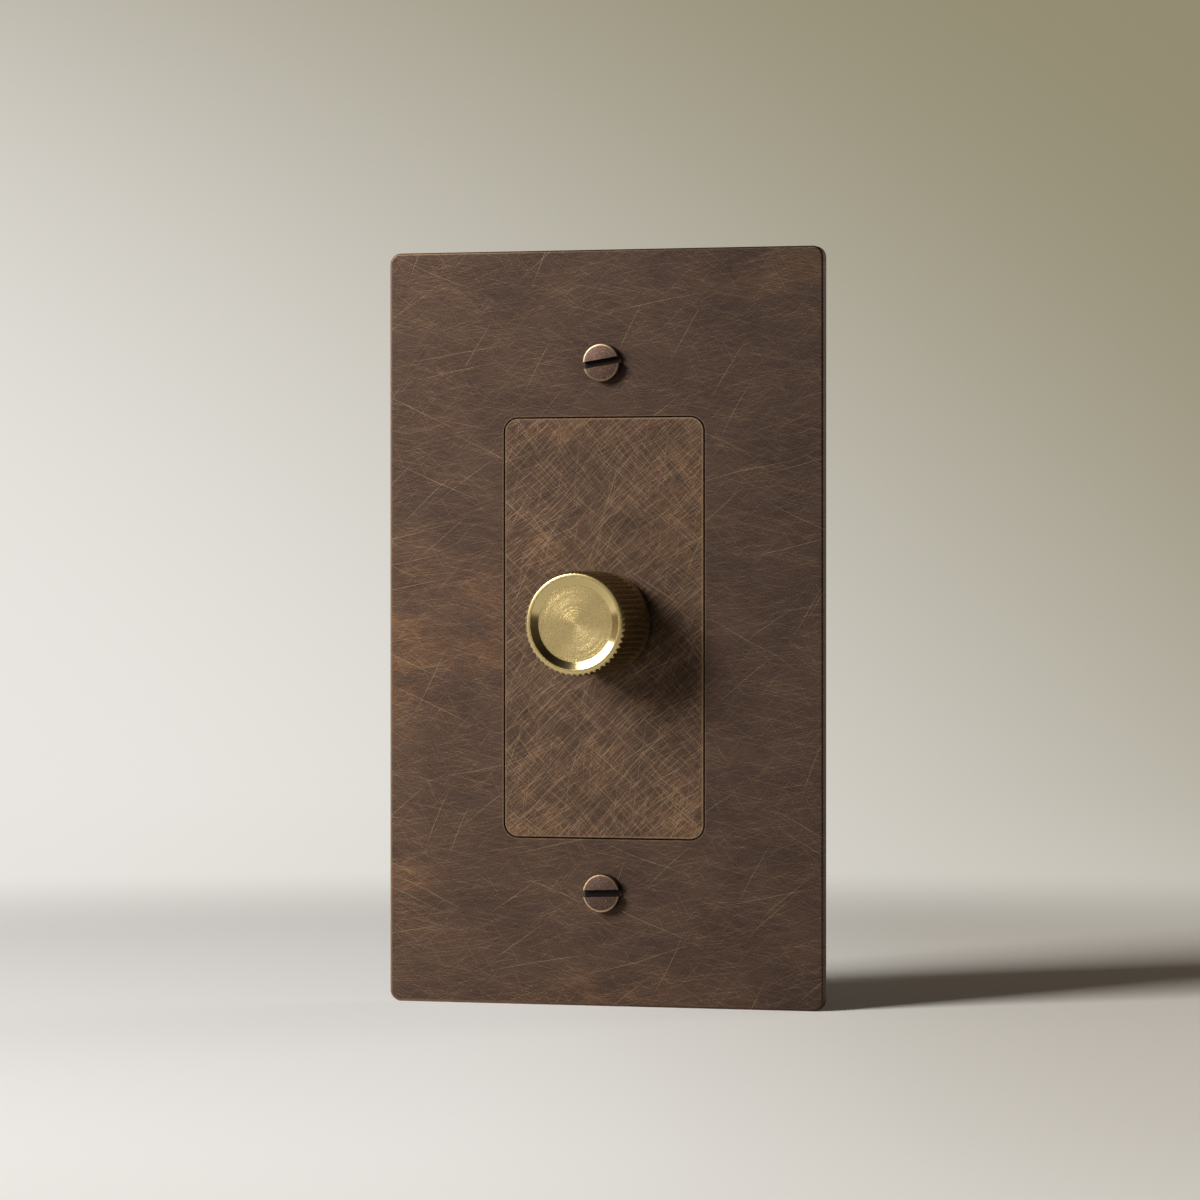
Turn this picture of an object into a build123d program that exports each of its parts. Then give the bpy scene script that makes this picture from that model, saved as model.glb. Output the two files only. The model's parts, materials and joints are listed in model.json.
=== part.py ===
from build123d import *
import math
import os

# Rotary dimmer switch: a flat metal wall plate with a flush insert, a turned brass knob that
# turns and pushes, and behind them the dimmer module that hangs in the wall box.
# Millimetres. Seen from the room, X is right and Z is up, and Y runs into the wall.
# The origin is the centre of the wall plate's back face, so the wall is the plane Y = 0.

os.makedirs("parts", exist_ok=True)

# Wall plate and insert
box_screw_spacing = 83.34
screw_to_edge = 17.83
plate_width = 71.2
plate_thickness = 2.0
plate_corner_radius = 1.8
plate_edge_round = 0.35
opening_width = 33.1
screw_to_opening = 8.42
opening_corner_radius = 2.4
insert_gap = 0.2
insert_edge_round = 0.15
pocket_room = 1.2

# Screws that hold the plate and the strap to the wall box
plate_screw_head_diameter = 6.0
plate_screw_head_height = 1.7
plate_screw_head_round = 0.25
plate_screw_neck_diameter = 2.9
plate_screw_thread_diameter = 3.5
plate_screw_thread_start = 0.3
plate_screw_length = 12.5
plate_screw_room = 0.45
slot_width = 1.0
slot_depth = 1.2
upper_slot_turn = 9.0
lower_slot_turn = 1.5

# Mounting strap
strap_thickness = 0.9
strap_gap = 0.2
strap_ear_width = 22.0
strap_ear_reach = 9.3
strap_ear_corner = 3.0
strap_slot_length = 8.0
strap_slot_room = 0.6
strap_margin = 0.7
collar_wall = 0.85
collar_height = 1.2
collar_room = 0.15
tab_width = 6.0
tab_length = 7.5
tab_drop = 1.6
ground_screw_diameter = 3.2
ground_screw_length = 5.5
ground_head_diameter = 6.4
ground_head_height = 2.2

# Knob
axis_rise = 0.8
knob_reach = 15.6
knob_wall = 1.9
knob_bevel = 0.38
knob_rim_width = 0.62
knob_step_width = 1.15
knob_step_depth = 0.5
knob_face_wall = 2.6
knob_rear_round = 0.3
knurl_count = 54
knurl_depth = 0.36
knurl_land = 0.12
knurl_band = 1.8
set_screw_diameter = 3.0
set_screw_length = 4.0
set_screw_setback = 6.6
set_screw_socket = 1.5
set_screw_socket_depth = 1.5

# Shaft and its bushing
shaft_diameter = 6.0
shaft_flat_depth = 1.5
shaft_flat_length = 6.8
shaft_end_gap = 0.2
shaft_overrun = 1.3
shaft_chamfer = 0.5
running_fit = 0.05
knob_fit = 0.03
push_travel = 1.2
push_room = 0.3
stroke_margin = 0.4
end_play = 0.1
bushing_diameter = 7.0
bushing_room = 0.15
bushing_stub = 0.5
flange_thickness = 1.0
nut_flats = 10.0
nut_thickness = 2.0
nut_room = 0.45
washer_diameter = 11.0
washer_thickness = 0.5
clip_reach = 1.5
clip_thickness = 0.6
clip_groove_depth = 0.7
clip_mouth = 3.6

# Control potentiometer
turn_each_way = 145.0
stop_margin = 3.0
rotor_lug_half = 14.0
rotor_wall = 1.3
rotor_disc = 1.6
rotor_hub_wall = 1.15
lug_height = 0.9
pot_room = 0.4
pot_wall = 1.2
wiper_space = 1.3
wiper_thickness = 0.3
wiper_ring_width = 1.6
wiper_arm_width = 0.9
wafer_thickness = 0.8
wafer_hole_room = 0.5
pot_pin_pitch = 5.0
pot_pin_width = 1.2
pot_pin_thickness = 0.4
pot_pin_reach = 1.5
pot_pin_cover = 2.7

# Push switch behind the potentiometer
touch_gap = 0.05
plunger_disc = 1.4
plunger_hub_diameter = 4.0
plunger_hub_length = 1.8
key_width = 1.6
key_height = 0.8
guide_room = 0.35
bridge_thickness = 0.4
bridge_width = 3.2
bridge_end = 0.3
button_diameter = 2.0
button_height = 0.6
post_diameter = 2.2
post_height = 2.0
post_pin_diameter = 1.2
contact_room = 0.6
spring_wire = 0.4
spring_room = 0.3
spring_turns = 4
switch_wall = 1.3

# Moulded housing
cover_thickness = 2.2
cover_lip_depth = 2.0
cover_lip_thickness = 1.2
cover_lip_room = 0.3
housing_wall = 1.8
housing_corner_radius = 3.0
column_radius = 2.9
column_inset = 2.5
housing_screw_diameter = 2.4
housing_screw_head_diameter = 4.4
housing_screw_head_height = 1.5
housing_screw_room = 0.1
side_room = 0.6
top_room = 2.6

# Circuit board
board_thickness = 1.6
board_standoff = 3.4
board_room = 0.5
board_post_radius = 2.2
board_screw_diameter = 2.2
board_screw_length = 4.6
board_screw_head_diameter = 4.2
board_screw_head_height = 1.5
pin_stub = 1.0
pin_diameter = 0.7
pin_room = 0.15

# Heat sink and triac
heat_sink_thickness = 1.5
heat_sink_width = 25.0
pad_thickness = 0.3
pad_overhang = 1.0
triac_width = 10.0
triac_body_height = 9.2
triac_thickness = 4.5
triac_tab_thickness = 1.3
triac_tab_height = 6.2
triac_hole_drop = 2.8
triac_hole_diameter = 3.7
triac_lead_pitch = 2.54
triac_lead_width = 0.8
triac_lead_thickness = 0.5
triac_lead_depth = 2.7
triac_lead_reach = 1.5
triac_rise = 1.2
triac_screw_diameter = 3.0
triac_screw_head_diameter = 5.5
triac_screw_head_height = 1.8
triac_screw_bite = 1.2

# Choke, capacitors and small components
choke_bore_radius = 3.4
choke_core_radius = 7.0
choke_core_height = 5.0
choke_wire = 0.7
choke_wire_room = 0.1
choke_turns = 18
choke_centre_gap = 2.3
choke_pin_room = 1.2
component_gap = 0.8
film_width = 7.0
film_height = 12.6
film_depth = 12.0
electrolytic_diameter = 8.0
electrolytic_length = 11.5
fuse_diameter = 4.8
fuse_length = 12.0
fuse_cap_length = 2.4
resistor_diameter = 2.4
resistor_length = 6.5
resistor_lead = 1.8
diac_diameter = 2.6
diac_length = 4.2

# Wire terminals
clamp_width = 6.8
clamp_height = 7.0
clamp_depth = 8.6
clamp_gap = 2.2
clamp_seat = 2.2
wire_bore_diameter = 3.4
wire_port_diameter = 4.2
wire_bore_inset = 2.6
terminal_screw_diameter = 3.0
terminal_screw_head_diameter = 4.4
terminal_screw_head_height = 1.8
terminal_screw_lift = 0.2
access_room = 0.4
partition_thickness = 1.2
tail_width = 2.5
tail_thickness = 0.6
tail_overlap = 2.0
tail_room = 0.3
cover_post_width = 4.0

# Depths, from the room towards the wall and into the box
plate_front = -plate_thickness
strap_back = -strap_gap
strap_front = strap_back - strap_thickness
cover_back = strap_back + cover_thickness
flange_back = cover_back + flange_thickness
clip_front = flange_back + end_play
clip_back = clip_front + clip_thickness
rotor_front = flange_back + end_play
rotor_floor = clip_back + push_travel + stroke_margin
rotor_back = rotor_floor + rotor_disc
wafer_front = rotor_back + wiper_space
wafer_back = wafer_front + wafer_thickness
pot_back = wafer_back + pot_wall
shaft_back = pot_back + shaft_overrun
plunger_front = shaft_back + touch_gap
plunger_back = plunger_front + plunger_disc
bridge_back = plunger_back + bridge_thickness
button_back = bridge_back + button_height
post_front = button_back + push_travel + touch_gap
plunger_hub_back = bridge_back + plunger_hub_length
switch_floor = max(post_front + post_height, plunger_hub_back + push_travel + stroke_margin)
winding_thickness = choke_wire + choke_wire_room
choke_outer_radius = choke_core_radius + winding_thickness
board_front = max(switch_floor + switch_wall, cover_back + 2 * choke_outer_radius + side_room)
board_back = board_front + board_thickness
pin_end = board_back + pin_stub
floor_front = board_back + board_standoff
housing_back = floor_front + housing_wall
bushing_front = plate_front - washer_thickness - nut_thickness - bushing_stub
knob_front = plate_front - knob_reach
knob_rear = plate_front - push_travel - push_room
knob_pocket_floor = bushing_front - push_travel - stroke_margin
knob_bore_end = knob_front + knob_step_depth + knob_face_wall
shaft_front = knob_bore_end + shaft_end_gap
heat_sink_back = cover_back + heat_sink_thickness
tab_front = heat_sink_back + pad_thickness
tab_back = tab_front + triac_tab_thickness
clamp_back = floor_front - clamp_seat
clamp_front = clamp_back - clamp_depth
wire_depth = clamp_front + wire_bore_inset

# Radii about the shaft's axis
shaft_radius = shaft_diameter / 2
shaft_flat = shaft_radius - shaft_flat_depth
bushing_hole = bushing_diameter / 2 + bushing_room
knob_pocket_radius = nut_flats / math.sqrt(3) + nut_room
knob_radius = knob_pocket_radius + knob_wall
clip_radius = shaft_radius + clip_reach
rotor_pocket_radius = clip_radius + pot_room
rotor_radius = rotor_pocket_radius + rotor_wall
rotor_hub_radius = shaft_radius + rotor_hub_wall
lug_radius = rotor_radius + lug_height
pot_bore = lug_radius + pot_room
pot_radius = pot_bore + pot_wall
wafer_hole = shaft_radius + wafer_hole_room
stop_lug_half = 180 - turn_each_way - stop_margin - rotor_lug_half
plunger_hub_radius = plunger_hub_diameter / 2
spring_radius = plunger_hub_radius + spring_room + spring_wire / 2
contact_offset = spring_radius + spring_wire / 2 + contact_room + post_diameter / 2
bridge_half = contact_offset + post_diameter / 2 + bridge_end
plunger_radius = math.hypot(bridge_half, bridge_width / 2) + bridge_end
switch_bore = plunger_radius + guide_room
switch_radius = switch_bore + switch_wall

# Heights and widths of the module, worked out from what it holds
lead_line = axis_rise + pot_radius + triac_rise
triac_bottom = lead_line + triac_lead_reach
triac_body_top = triac_bottom + triac_body_height
triac_top = triac_body_top + triac_tab_height
pot_pin_line = axis_rise - pot_radius - pot_pin_reach
choke_half_height = choke_core_height / 2 + winding_thickness
choke_line = pot_pin_line - choke_pin_room - choke_half_height
board_bottom = choke_line - choke_half_height - tail_overlap - tail_room
lower_half = clamp_height + component_gap - board_bottom
inner_half_height = max(triac_top + top_room, lower_half + board_room)
terminal_pitch = clamp_width + clamp_gap
terminal_half = terminal_pitch + clamp_width / 2 + board_room + column_radius + column_inset
inner_half_width = max(choke_centre_gap + 2 * choke_outer_radius + side_room, terminal_half)
housing_width = 2 * (inner_half_width + housing_wall)
housing_height = 2 * (inner_half_height + housing_wall)
column_x = inner_half_width - column_inset
column_z = inner_half_height - column_inset
column_spots = [(x, z) for x in (-column_x, column_x) for z in (-column_z, column_z)]
collar_radius = housing_screw_diameter / 2 + collar_wall
board_half_width = inner_half_width - board_room
board_top = inner_half_height - board_room
clamp_bottom = -inner_half_height + board_room
clamp_top = clamp_bottom + clamp_height
clamp_line = clamp_bottom + clamp_height / 2
terminal_spots = [-terminal_pitch, 0, terminal_pitch]
column_shelf = column_z - column_radius - component_gap

# Sizes of the plate, the insert and the strap
plate_height = box_screw_spacing + 2 * screw_to_edge
opening_height = box_screw_spacing - 2 * screw_to_opening
insert_width = opening_width - 2 * insert_gap
insert_height = opening_height - 2 * insert_gap
pocket_width = housing_width + 2 * pocket_room
strap_width = 2 * (column_x + collar_radius + strap_margin)
strap_length = box_screw_spacing + 2 * strap_ear_reach
pocket_height = strap_length + 2 * pocket_room
box_screw_line = box_screw_spacing / 2
shaft_axis = Axis((0, 0, axis_rise), (0, 1, 0))


def room_face(y):
    """A plane at depth y that faces the room, with local axes along X and Z."""
    return Plane.XZ.offset(-y)


def block(x, y, z, mode=Mode.ADD):
    """A box given by its two ends along each axis."""
    with Locations(((x[0] + x[1]) / 2, (y[0] + y[1]) / 2, (z[0] + z[1]) / 2)):
        Box(x[1] - x[0], y[1] - y[0], z[1] - z[0], mode=mode)


def rods(radius, start, end, spots, mode=Mode.ADD):
    """Round bars or holes along Y, one at each (x, z) spot."""
    with BuildSketch(room_face(start)) as circles:
        with Locations(*spots):
            Circle(radius)
    extrude(circles.sketch, amount=start - end, mode=mode)


def turned(*points, mode=Mode.ADD):
    """A round form about the shaft's axis, from its (radius, depth) outline."""
    with BuildSketch(Plane.XY.offset(axis_rise)) as outline:
        Polygon(*points, align=None)
    revolve(outline.sketch, axis=shaft_axis, mode=mode)


def ring_sector(inner, outer, middle, half, start, end):
    """A curved lug about the shaft's axis; middle and half are angles in degrees."""
    with BuildSketch(room_face(start)) as sector:
        with BuildLine():
            centre = (0, axis_rise)
            inside = CenterArc(centre, inner, middle - half, 2 * half)
            outside = CenterArc(centre, outer, middle - half, 2 * half)
            Line(inside @ 0, outside @ 0)
            Line(inside @ 1, outside @ 1)
        make_face()
    extrude(sector.sketch, amount=start - end)


def shaft_hole(radius, flat, start, end):
    """A D-shaped hole that fits the flatted shaft."""
    with BuildSketch(room_face(start)) as d_hole:
        with Locations((0, axis_rise)):
            Circle(radius)
            with Locations((0, -flat)):
                Rectangle(4 * radius, 2 * radius, align=(Align.CENTER, Align.MAX), mode=Mode.SUBTRACT)
    extrude(d_hole.sketch, amount=start - end, mode=Mode.SUBTRACT)


# Wall plate: the opening, the screw holes and a milled pocket behind for the strap
with BuildPart() as wall_plate:
    with BuildSketch(room_face(0)):
        RectangleRounded(plate_width, plate_height, plate_corner_radius)
    extrude(amount=plate_thickness)
    fillet(wall_plate.faces().sort_by(Axis.Y)[0].edges(), plate_edge_round)
    with BuildSketch(room_face(0)):
        RectangleRounded(pocket_width, pocket_height, plate_corner_radius)
    extrude(amount=-strap_front, mode=Mode.SUBTRACT)
    with BuildSketch(room_face(0)):
        RectangleRounded(opening_width, opening_height, opening_corner_radius)
    extrude(amount=plate_thickness, mode=Mode.SUBTRACT)
    hole_radius = plate_screw_thread_diameter / 2 + plate_screw_room / 2
    screw_spots = [(0, -box_screw_line), (0, box_screw_line)]
    rods(hole_radius, plate_front, 0, screw_spots, mode=Mode.SUBTRACT)

wall_plate.part.label = "wall_plate"
export_step(wall_plate.part, "parts/wall_plate.step")

# Insert: the flush plate in the opening, clamped to the strap by the bushing's nut
with BuildPart() as insert_plate:
    with BuildSketch(room_face(strap_front)):
        RectangleRounded(insert_width, insert_height, opening_corner_radius - insert_gap)
    extrude(amount=strap_front - plate_front)
    fillet(insert_plate.faces().sort_by(Axis.Y)[0].edges(), insert_edge_round)
    rods(bushing_hole, plate_front, strap_front, [(0, axis_rise)], mode=Mode.SUBTRACT)

insert_plate.part.label = "insert_plate"
export_step(insert_plate.part, "parts/insert_plate.step")

# Plate screws: slotted cheese heads, a thin neck through plate and strap, thread into the box
with BuildPart() as plate_screws:
    head_front = plate_front - plate_screw_head_height
    rods(plate_screw_head_diameter / 2, head_front, plate_front, screw_spots)
    head_rims = plate_screws.edges().filter_by(GeomType.CIRCLE).group_by(Axis.Y)[0]
    fillet(head_rims, plate_screw_head_round)
    for (x, z), turn in zip(screw_spots, (lower_slot_turn, upper_slot_turn)):
        with BuildSketch(room_face(head_front)):
            with Locations(Location((x, z), turn)):
                Rectangle(2 * plate_screw_head_diameter, slot_width)
        extrude(amount=-slot_depth, mode=Mode.SUBTRACT)
    rods(plate_screw_neck_diameter / 2, plate_front, plate_screw_thread_start, screw_spots)
    thread_radius = plate_screw_thread_diameter / 2
    rods(thread_radius, plate_screw_thread_start, plate_screw_length, screw_spots)

plate_screws.part.label = "plate_screws"
export_step(plate_screws.part, "parts/plate_screws.step")

# Mounting strap: a steel sheet that carries the module, with slots for the box screws,
# drawn collars for the housing screws and one side tab for the ground screw
tab_x = -strap_ear_width / 2
tab_top = -housing_height / 2 - tab_drop
ground_depth = tab_length - ground_head_diameter / 2
ground_line = tab_top - tab_width / 2
with BuildPart() as mounting_strap:
    with BuildSketch(room_face(strap_back)):
        RectangleRounded(strap_ear_width, strap_length, strap_ear_corner)
        RectangleRounded(strap_width, housing_height, strap_ear_corner)
        slot_height = plate_screw_thread_diameter + 2 * strap_slot_room
        with Locations(*screw_spots):
            SlotOverall(strap_slot_length, slot_height, mode=Mode.SUBTRACT)
        with Locations((0, axis_rise)):
            Circle(bushing_hole, mode=Mode.SUBTRACT)
    extrude(amount=strap_thickness)
    rods(collar_radius, strap_back, strap_back + collar_height, column_spots)
    collar_end = strap_back + collar_height
    rods(housing_screw_diameter / 2, strap_front, collar_end, column_spots, mode=Mode.SUBTRACT)
    block((tab_x, tab_x + strap_thickness), (strap_front, tab_length), (tab_top - tab_width, tab_top))
    with Locations(Location((tab_x, ground_depth, ground_line), (0, 90, 0))):
        Cylinder(ground_screw_diameter / 2, 4 * strap_thickness, mode=Mode.SUBTRACT)

mounting_strap.part.label = "mounting_strap"
export_step(mounting_strap.part, "parts/mounting_strap.step")

# Ground screw: slotted, through the strap's tab
with BuildPart() as ground_screw:
    with BuildSketch(Plane.YZ.offset(tab_x)):
        with Locations((ground_depth, ground_line)):
            Circle(ground_head_diameter / 2)
    extrude(amount=-ground_head_height)
    with BuildSketch(Plane.YZ.offset(tab_x)):
        with Locations((ground_depth, ground_line)):
            Circle(ground_screw_diameter / 2)
    extrude(amount=ground_screw_length)
    with BuildSketch(Plane.YZ.offset(tab_x - ground_head_height)):
        with Locations((ground_depth, ground_line)):
            Rectangle(2 * ground_head_diameter, slot_width)
    extrude(amount=slot_depth, mode=Mode.SUBTRACT)

ground_screw.part.label = "ground_screw"
export_step(ground_screw.part, "parts/ground_screw.step")

# Knob: one turned piece of brass with a shallow dished face, straight knurling up to a plain
# band, a pocket behind that hides the nut, a blind bore and a tapped cross hole
face_depth = knob_front + knob_step_depth
rim_radius = knob_radius - knob_bevel - knob_rim_width
with BuildPart() as knob:
    turned(
        (0, face_depth),
        (rim_radius - knob_step_width, face_depth),
        (rim_radius, knob_front),
        (knob_radius - knob_bevel, knob_front),
        (knob_radius, knob_front + knob_bevel),
        (knob_radius, knob_rear - knob_rear_round),
        (knob_radius - knob_rear_round, knob_rear),
        (knob_pocket_radius, knob_rear),
        (knob_pocket_radius, knob_pocket_floor),
        (0, knob_pocket_floor),
    )
    groove_half = math.pi * knob_radius / knurl_count - knurl_land / 2
    groove_lip = knurl_depth / 2
    with BuildSketch(room_face(knob_front - 1)):
        with Locations((0, axis_rise)):
            with PolarLocations(knob_radius, knurl_count):
                lip_half = groove_half * (1 + groove_lip / knurl_depth)
                Polygon((-knurl_depth, 0), (groove_lip, -lip_half), (groove_lip, lip_half), align=None)
    extrude(amount=-(knob_rear - knurl_band - knob_front + 1), mode=Mode.SUBTRACT)
    shaft_spot = [(0, axis_rise)]
    rods(shaft_radius + knob_fit, knob_bore_end, knob_pocket_floor, shaft_spot, mode=Mode.SUBTRACT)
    set_screw_depth = knob_front + set_screw_setback
    with BuildSketch(Plane.XY.offset(axis_rise)):
        with Locations((0, set_screw_depth)):
            Circle(set_screw_diameter / 2 + knob_fit)
    extrude(amount=-2 * knob_radius, mode=Mode.SUBTRACT)

knob.part.label = "knob"
export_step(knob.part, "parts/knob.step")

# Set screw: a socket grub screw that bears on the shaft's flat from below
set_screw_tip = axis_rise - shaft_flat
with BuildPart() as knob_set_screw:
    with BuildSketch(Plane.XY.offset(set_screw_tip)):
        with Locations((0, set_screw_depth)):
            Circle(set_screw_diameter / 2)
    extrude(amount=-set_screw_length)
    with BuildSketch(Plane.XY.offset(set_screw_tip - set_screw_length)):
        with Locations((0, set_screw_depth)):
            RegularPolygon(set_screw_socket / 2, 6, major_radius=False)
    extrude(amount=set_screw_socket_depth, mode=Mode.SUBTRACT)

knob_set_screw.part.label = "knob_set_screw"
export_step(knob_set_screw.part, "parts/knob_set_screw.step")

# Shaft: round where it runs in the bushing, flatted under the set screw and in the rotor
groove_front = clip_front - running_fit
groove_back = clip_back + running_fit
with BuildPart() as shaft:
    turned(
        (0, shaft_front),
        (shaft_radius - shaft_chamfer, shaft_front),
        (shaft_radius, shaft_front + shaft_chamfer),
        (shaft_radius, groove_front),
        (shaft_radius - clip_groove_depth, groove_front),
        (shaft_radius - clip_groove_depth, groove_back),
        (shaft_radius, groove_back),
        (shaft_radius, shaft_back - shaft_chamfer),
        (shaft_radius - shaft_chamfer, shaft_back),
        (0, shaft_back),
    )
    below_flat = (axis_rise - 2 * shaft_radius, axis_rise - shaft_flat)
    across = (-shaft_diameter, shaft_diameter)
    block(across, (shaft_front - 1, shaft_front + shaft_flat_length), below_flat, mode=Mode.SUBTRACT)
    block(across, (groove_back + end_play, shaft_back + 1), below_flat, mode=Mode.SUBTRACT)

shaft.part.label = "shaft"
export_step(shaft.part, "parts/shaft.step")

# Shaft clip: a snap ring in the shaft's groove, which stops the shaft behind the bushing
with BuildPart() as shaft_clip:
    with BuildSketch(room_face(clip_front)):
        with Locations((0, axis_rise)):
            Circle(clip_radius)
            Circle(shaft_radius - clip_groove_depth + running_fit, mode=Mode.SUBTRACT)
            with Locations((0, clip_radius)):
                Rectangle(clip_mouth, 2 * clip_radius, mode=Mode.SUBTRACT)
    extrude(amount=-clip_thickness)

shaft_clip.part.label = "shaft_clip"
export_step(shaft_clip.part, "parts/shaft_clip.step")

# Bushing: the threaded barrel and flange that carry the shaft and clamp the module
with BuildPart() as pot_bushing:
    turned(
        (shaft_radius + running_fit, bushing_front),
        (bushing_diameter / 2, bushing_front),
        (bushing_diameter / 2, cover_back),
        (pot_radius, cover_back),
        (pot_radius, flange_back),
        (shaft_radius + running_fit, flange_back),
    )

pot_bushing.part.label = "pot_bushing"
export_step(pot_bushing.part, "parts/pot_bushing.step")

washer_front = plate_front - washer_thickness
with BuildPart() as bushing_washer:
    with BuildSketch(room_face(plate_front)):
        with Locations((0, axis_rise)):
            Circle(washer_diameter / 2)
            Circle(bushing_hole, mode=Mode.SUBTRACT)
    extrude(amount=washer_thickness)

bushing_washer.part.label = "bushing_washer"
export_step(bushing_washer.part, "parts/bushing_washer.step")

with BuildPart() as bushing_nut:
    with BuildSketch(room_face(washer_front)):
        with Locations((0, axis_rise)):
            RegularPolygon(nut_flats / 2, 6, major_radius=False)
            Circle(bushing_diameter / 2 + knob_fit, mode=Mode.SUBTRACT)
    extrude(amount=nut_thickness)

bushing_nut.part.label = "bushing_nut"
export_step(bushing_nut.part, "parts/bushing_nut.step")

# Potentiometer case: a cup with a stop lug inside and a notch behind for the pins
notch_half = pot_pin_pitch + pot_pin_width
with BuildPart() as pot_case:
    rods(pot_radius, flange_back, pot_back, shaft_spot)
    rods(pot_bore, flange_back, wafer_back, shaft_spot, mode=Mode.SUBTRACT)
    rods(wafer_hole, wafer_back, pot_back, shaft_spot, mode=Mode.SUBTRACT)
    stop_inner = rotor_radius + pot_room
    ring_sector(stop_inner, pot_bore + pot_wall / 2, 270, stop_lug_half, flange_back, rotor_back)
    notch_top = axis_rise - pot_radius + pot_wall + pot_pin_cover
    below_case = axis_rise - 2 * pot_radius
    block((-notch_half, notch_half), (wafer_front, pot_back), (below_case, notch_top), mode=Mode.SUBTRACT)

pot_case.part.label = "pot_case"
export_step(pot_case.part, "parts/pot_case.step")

# Track wafer: the fixed ring that holds the resistive track
with BuildPart() as track_wafer:
    rods(pot_bore - touch_gap, wafer_front, wafer_back, shaft_spot)
    rods(wafer_hole, wafer_front, wafer_back, shaft_spot, mode=Mode.SUBTRACT)

track_wafer.part.label = "track_wafer"
export_step(track_wafer.part, "parts/track_wafer.step")

# Track pins: three flat pins from the back of the wafer down and back into the board
pin_spots = [-pot_pin_pitch, 0, pot_pin_pitch]
with BuildPart() as track_pins:
    for x in pin_spots:
        pin_side = (x - pot_pin_width / 2, x + pot_pin_width / 2)
        back_of_pin = wafer_back + pot_pin_thickness
        block(pin_side, (wafer_back, back_of_pin), (pot_pin_line, notch_top - touch_gap))
        block(pin_side, (wafer_back, pin_end), (pot_pin_line, pot_pin_line + pot_pin_thickness))

track_pins.part.label = "track_pins"
export_step(track_pins.part, "parts/track_pins.step")

# Wiper rotor: a cup that the shaft slides in and turns, with a lug that meets the stop
with BuildPart() as wiper_rotor:
    rods(rotor_radius, rotor_front, rotor_back, shaft_spot)
    rods(rotor_hub_radius, rotor_back, wafer_front - end_play, shaft_spot)
    ring_sector(rotor_radius - rotor_wall / 2, lug_radius, 90, rotor_lug_half, rotor_front, rotor_back)
    rods(rotor_pocket_radius, rotor_front, rotor_floor, shaft_spot, mode=Mode.SUBTRACT)
    shaft_hole(shaft_radius + running_fit, shaft_flat + running_fit, rotor_floor, wafer_front)

wiper_rotor.part.label = "wiper_rotor"
export_step(wiper_rotor.part, "parts/wiper_rotor.step")

# Wiper contact: a spring sheet ring with two arms that reach to the track
ring_inner = rotor_hub_radius + touch_gap
ring_outer = ring_inner + wiper_ring_width
wiper_back = rotor_back + wiper_thickness
wiper_tip = wafer_front - end_play
with BuildPart() as wiper_contact:
    rods(ring_outer, rotor_back, wiper_back, shaft_spot)
    rods(ring_inner, rotor_back, wiper_back, shaft_spot, mode=Mode.SUBTRACT)
    for side in (-1, 1):
        with BuildSketch(Plane.XY.offset(axis_rise - wiper_arm_width / 2)):
            Polygon(
                (side * (ring_inner + wiper_thickness), wiper_back),
                (side * ring_outer, wiper_tip - wiper_thickness),
                (side * ring_outer, wiper_tip),
                (side * (ring_outer - wiper_thickness), wiper_tip),
                (side * ring_inner, rotor_back + wiper_thickness / 2),
                (side * (ring_inner + wiper_thickness), rotor_back + wiper_thickness / 2),
                align=None,
            )
        extrude(amount=wiper_arm_width)
    rods(ring_inner, rotor_back, wafer_front, shaft_spot, mode=Mode.SUBTRACT)

wiper_contact.part.label = "wiper_contact"
export_step(wiper_contact.part, "parts/wiper_contact.step")

# Switch case: a cup behind the potentiometer with a guide key for the plunger
contact_spots = [(-contact_offset, axis_rise), (contact_offset, axis_rise)]
post_pin_radius = post_pin_diameter / 2
with BuildPart() as switch_case:
    rods(switch_radius, pot_back, board_front, shaft_spot)
    rods(switch_bore, pot_back, switch_floor, shaft_spot, mode=Mode.SUBTRACT)
    key_bottom = axis_rise + switch_bore - key_height
    key_side = (-key_width / 2, key_width / 2)
    block(key_side, (pot_back, switch_floor), (key_bottom, key_bottom + key_height + switch_wall / 2))
    rods(post_pin_radius + knob_fit, switch_floor, board_front, contact_spots, mode=Mode.SUBTRACT)

switch_case.part.label = "switch_case"
export_step(switch_case.part, "parts/switch_case.step")

# Switch plunger: the disc that the shaft pushes, with a hub inside the return spring
with BuildPart() as switch_plunger:
    rods(plunger_radius, plunger_front, plunger_back, shaft_spot)
    rods(plunger_hub_radius, plunger_back, plunger_hub_back, shaft_spot)
    slot_side = (-key_width / 2 - guide_room, key_width / 2 + guide_room)
    above_disc = axis_rise + 2 * plunger_radius
    key_slot = (key_bottom - guide_room, above_disc)
    block(slot_side, (plunger_front, plunger_back), key_slot, mode=Mode.SUBTRACT)

switch_plunger.part.label = "switch_plunger"
export_step(switch_plunger.part, "parts/switch_plunger.step")

# Moving contact: a bridge strip on the plunger's hub with a button at each end
with BuildPart() as moving_contact:
    bridge_z = (axis_rise - bridge_width / 2, axis_rise + bridge_width / 2)
    block((-bridge_half, bridge_half), (plunger_back, bridge_back), bridge_z)
    spring_seat = plunger_hub_radius + spring_room
    rods(spring_seat + bridge_end, plunger_back, bridge_back, shaft_spot)
    rods(plunger_hub_radius + knob_fit, plunger_back, bridge_back, shaft_spot, mode=Mode.SUBTRACT)
    rods(button_diameter / 2, bridge_back, button_back, contact_spots)

moving_contact.part.label = "moving_contact"
export_step(moving_contact.part, "parts/moving_contact.step")

# Fixed contacts: two posts on the switch floor whose pins reach through the board
with BuildPart() as fixed_contacts:
    rods(post_diameter / 2, post_front, switch_floor, contact_spots)
    rods(post_pin_radius, switch_floor, pin_end, contact_spots)

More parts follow.
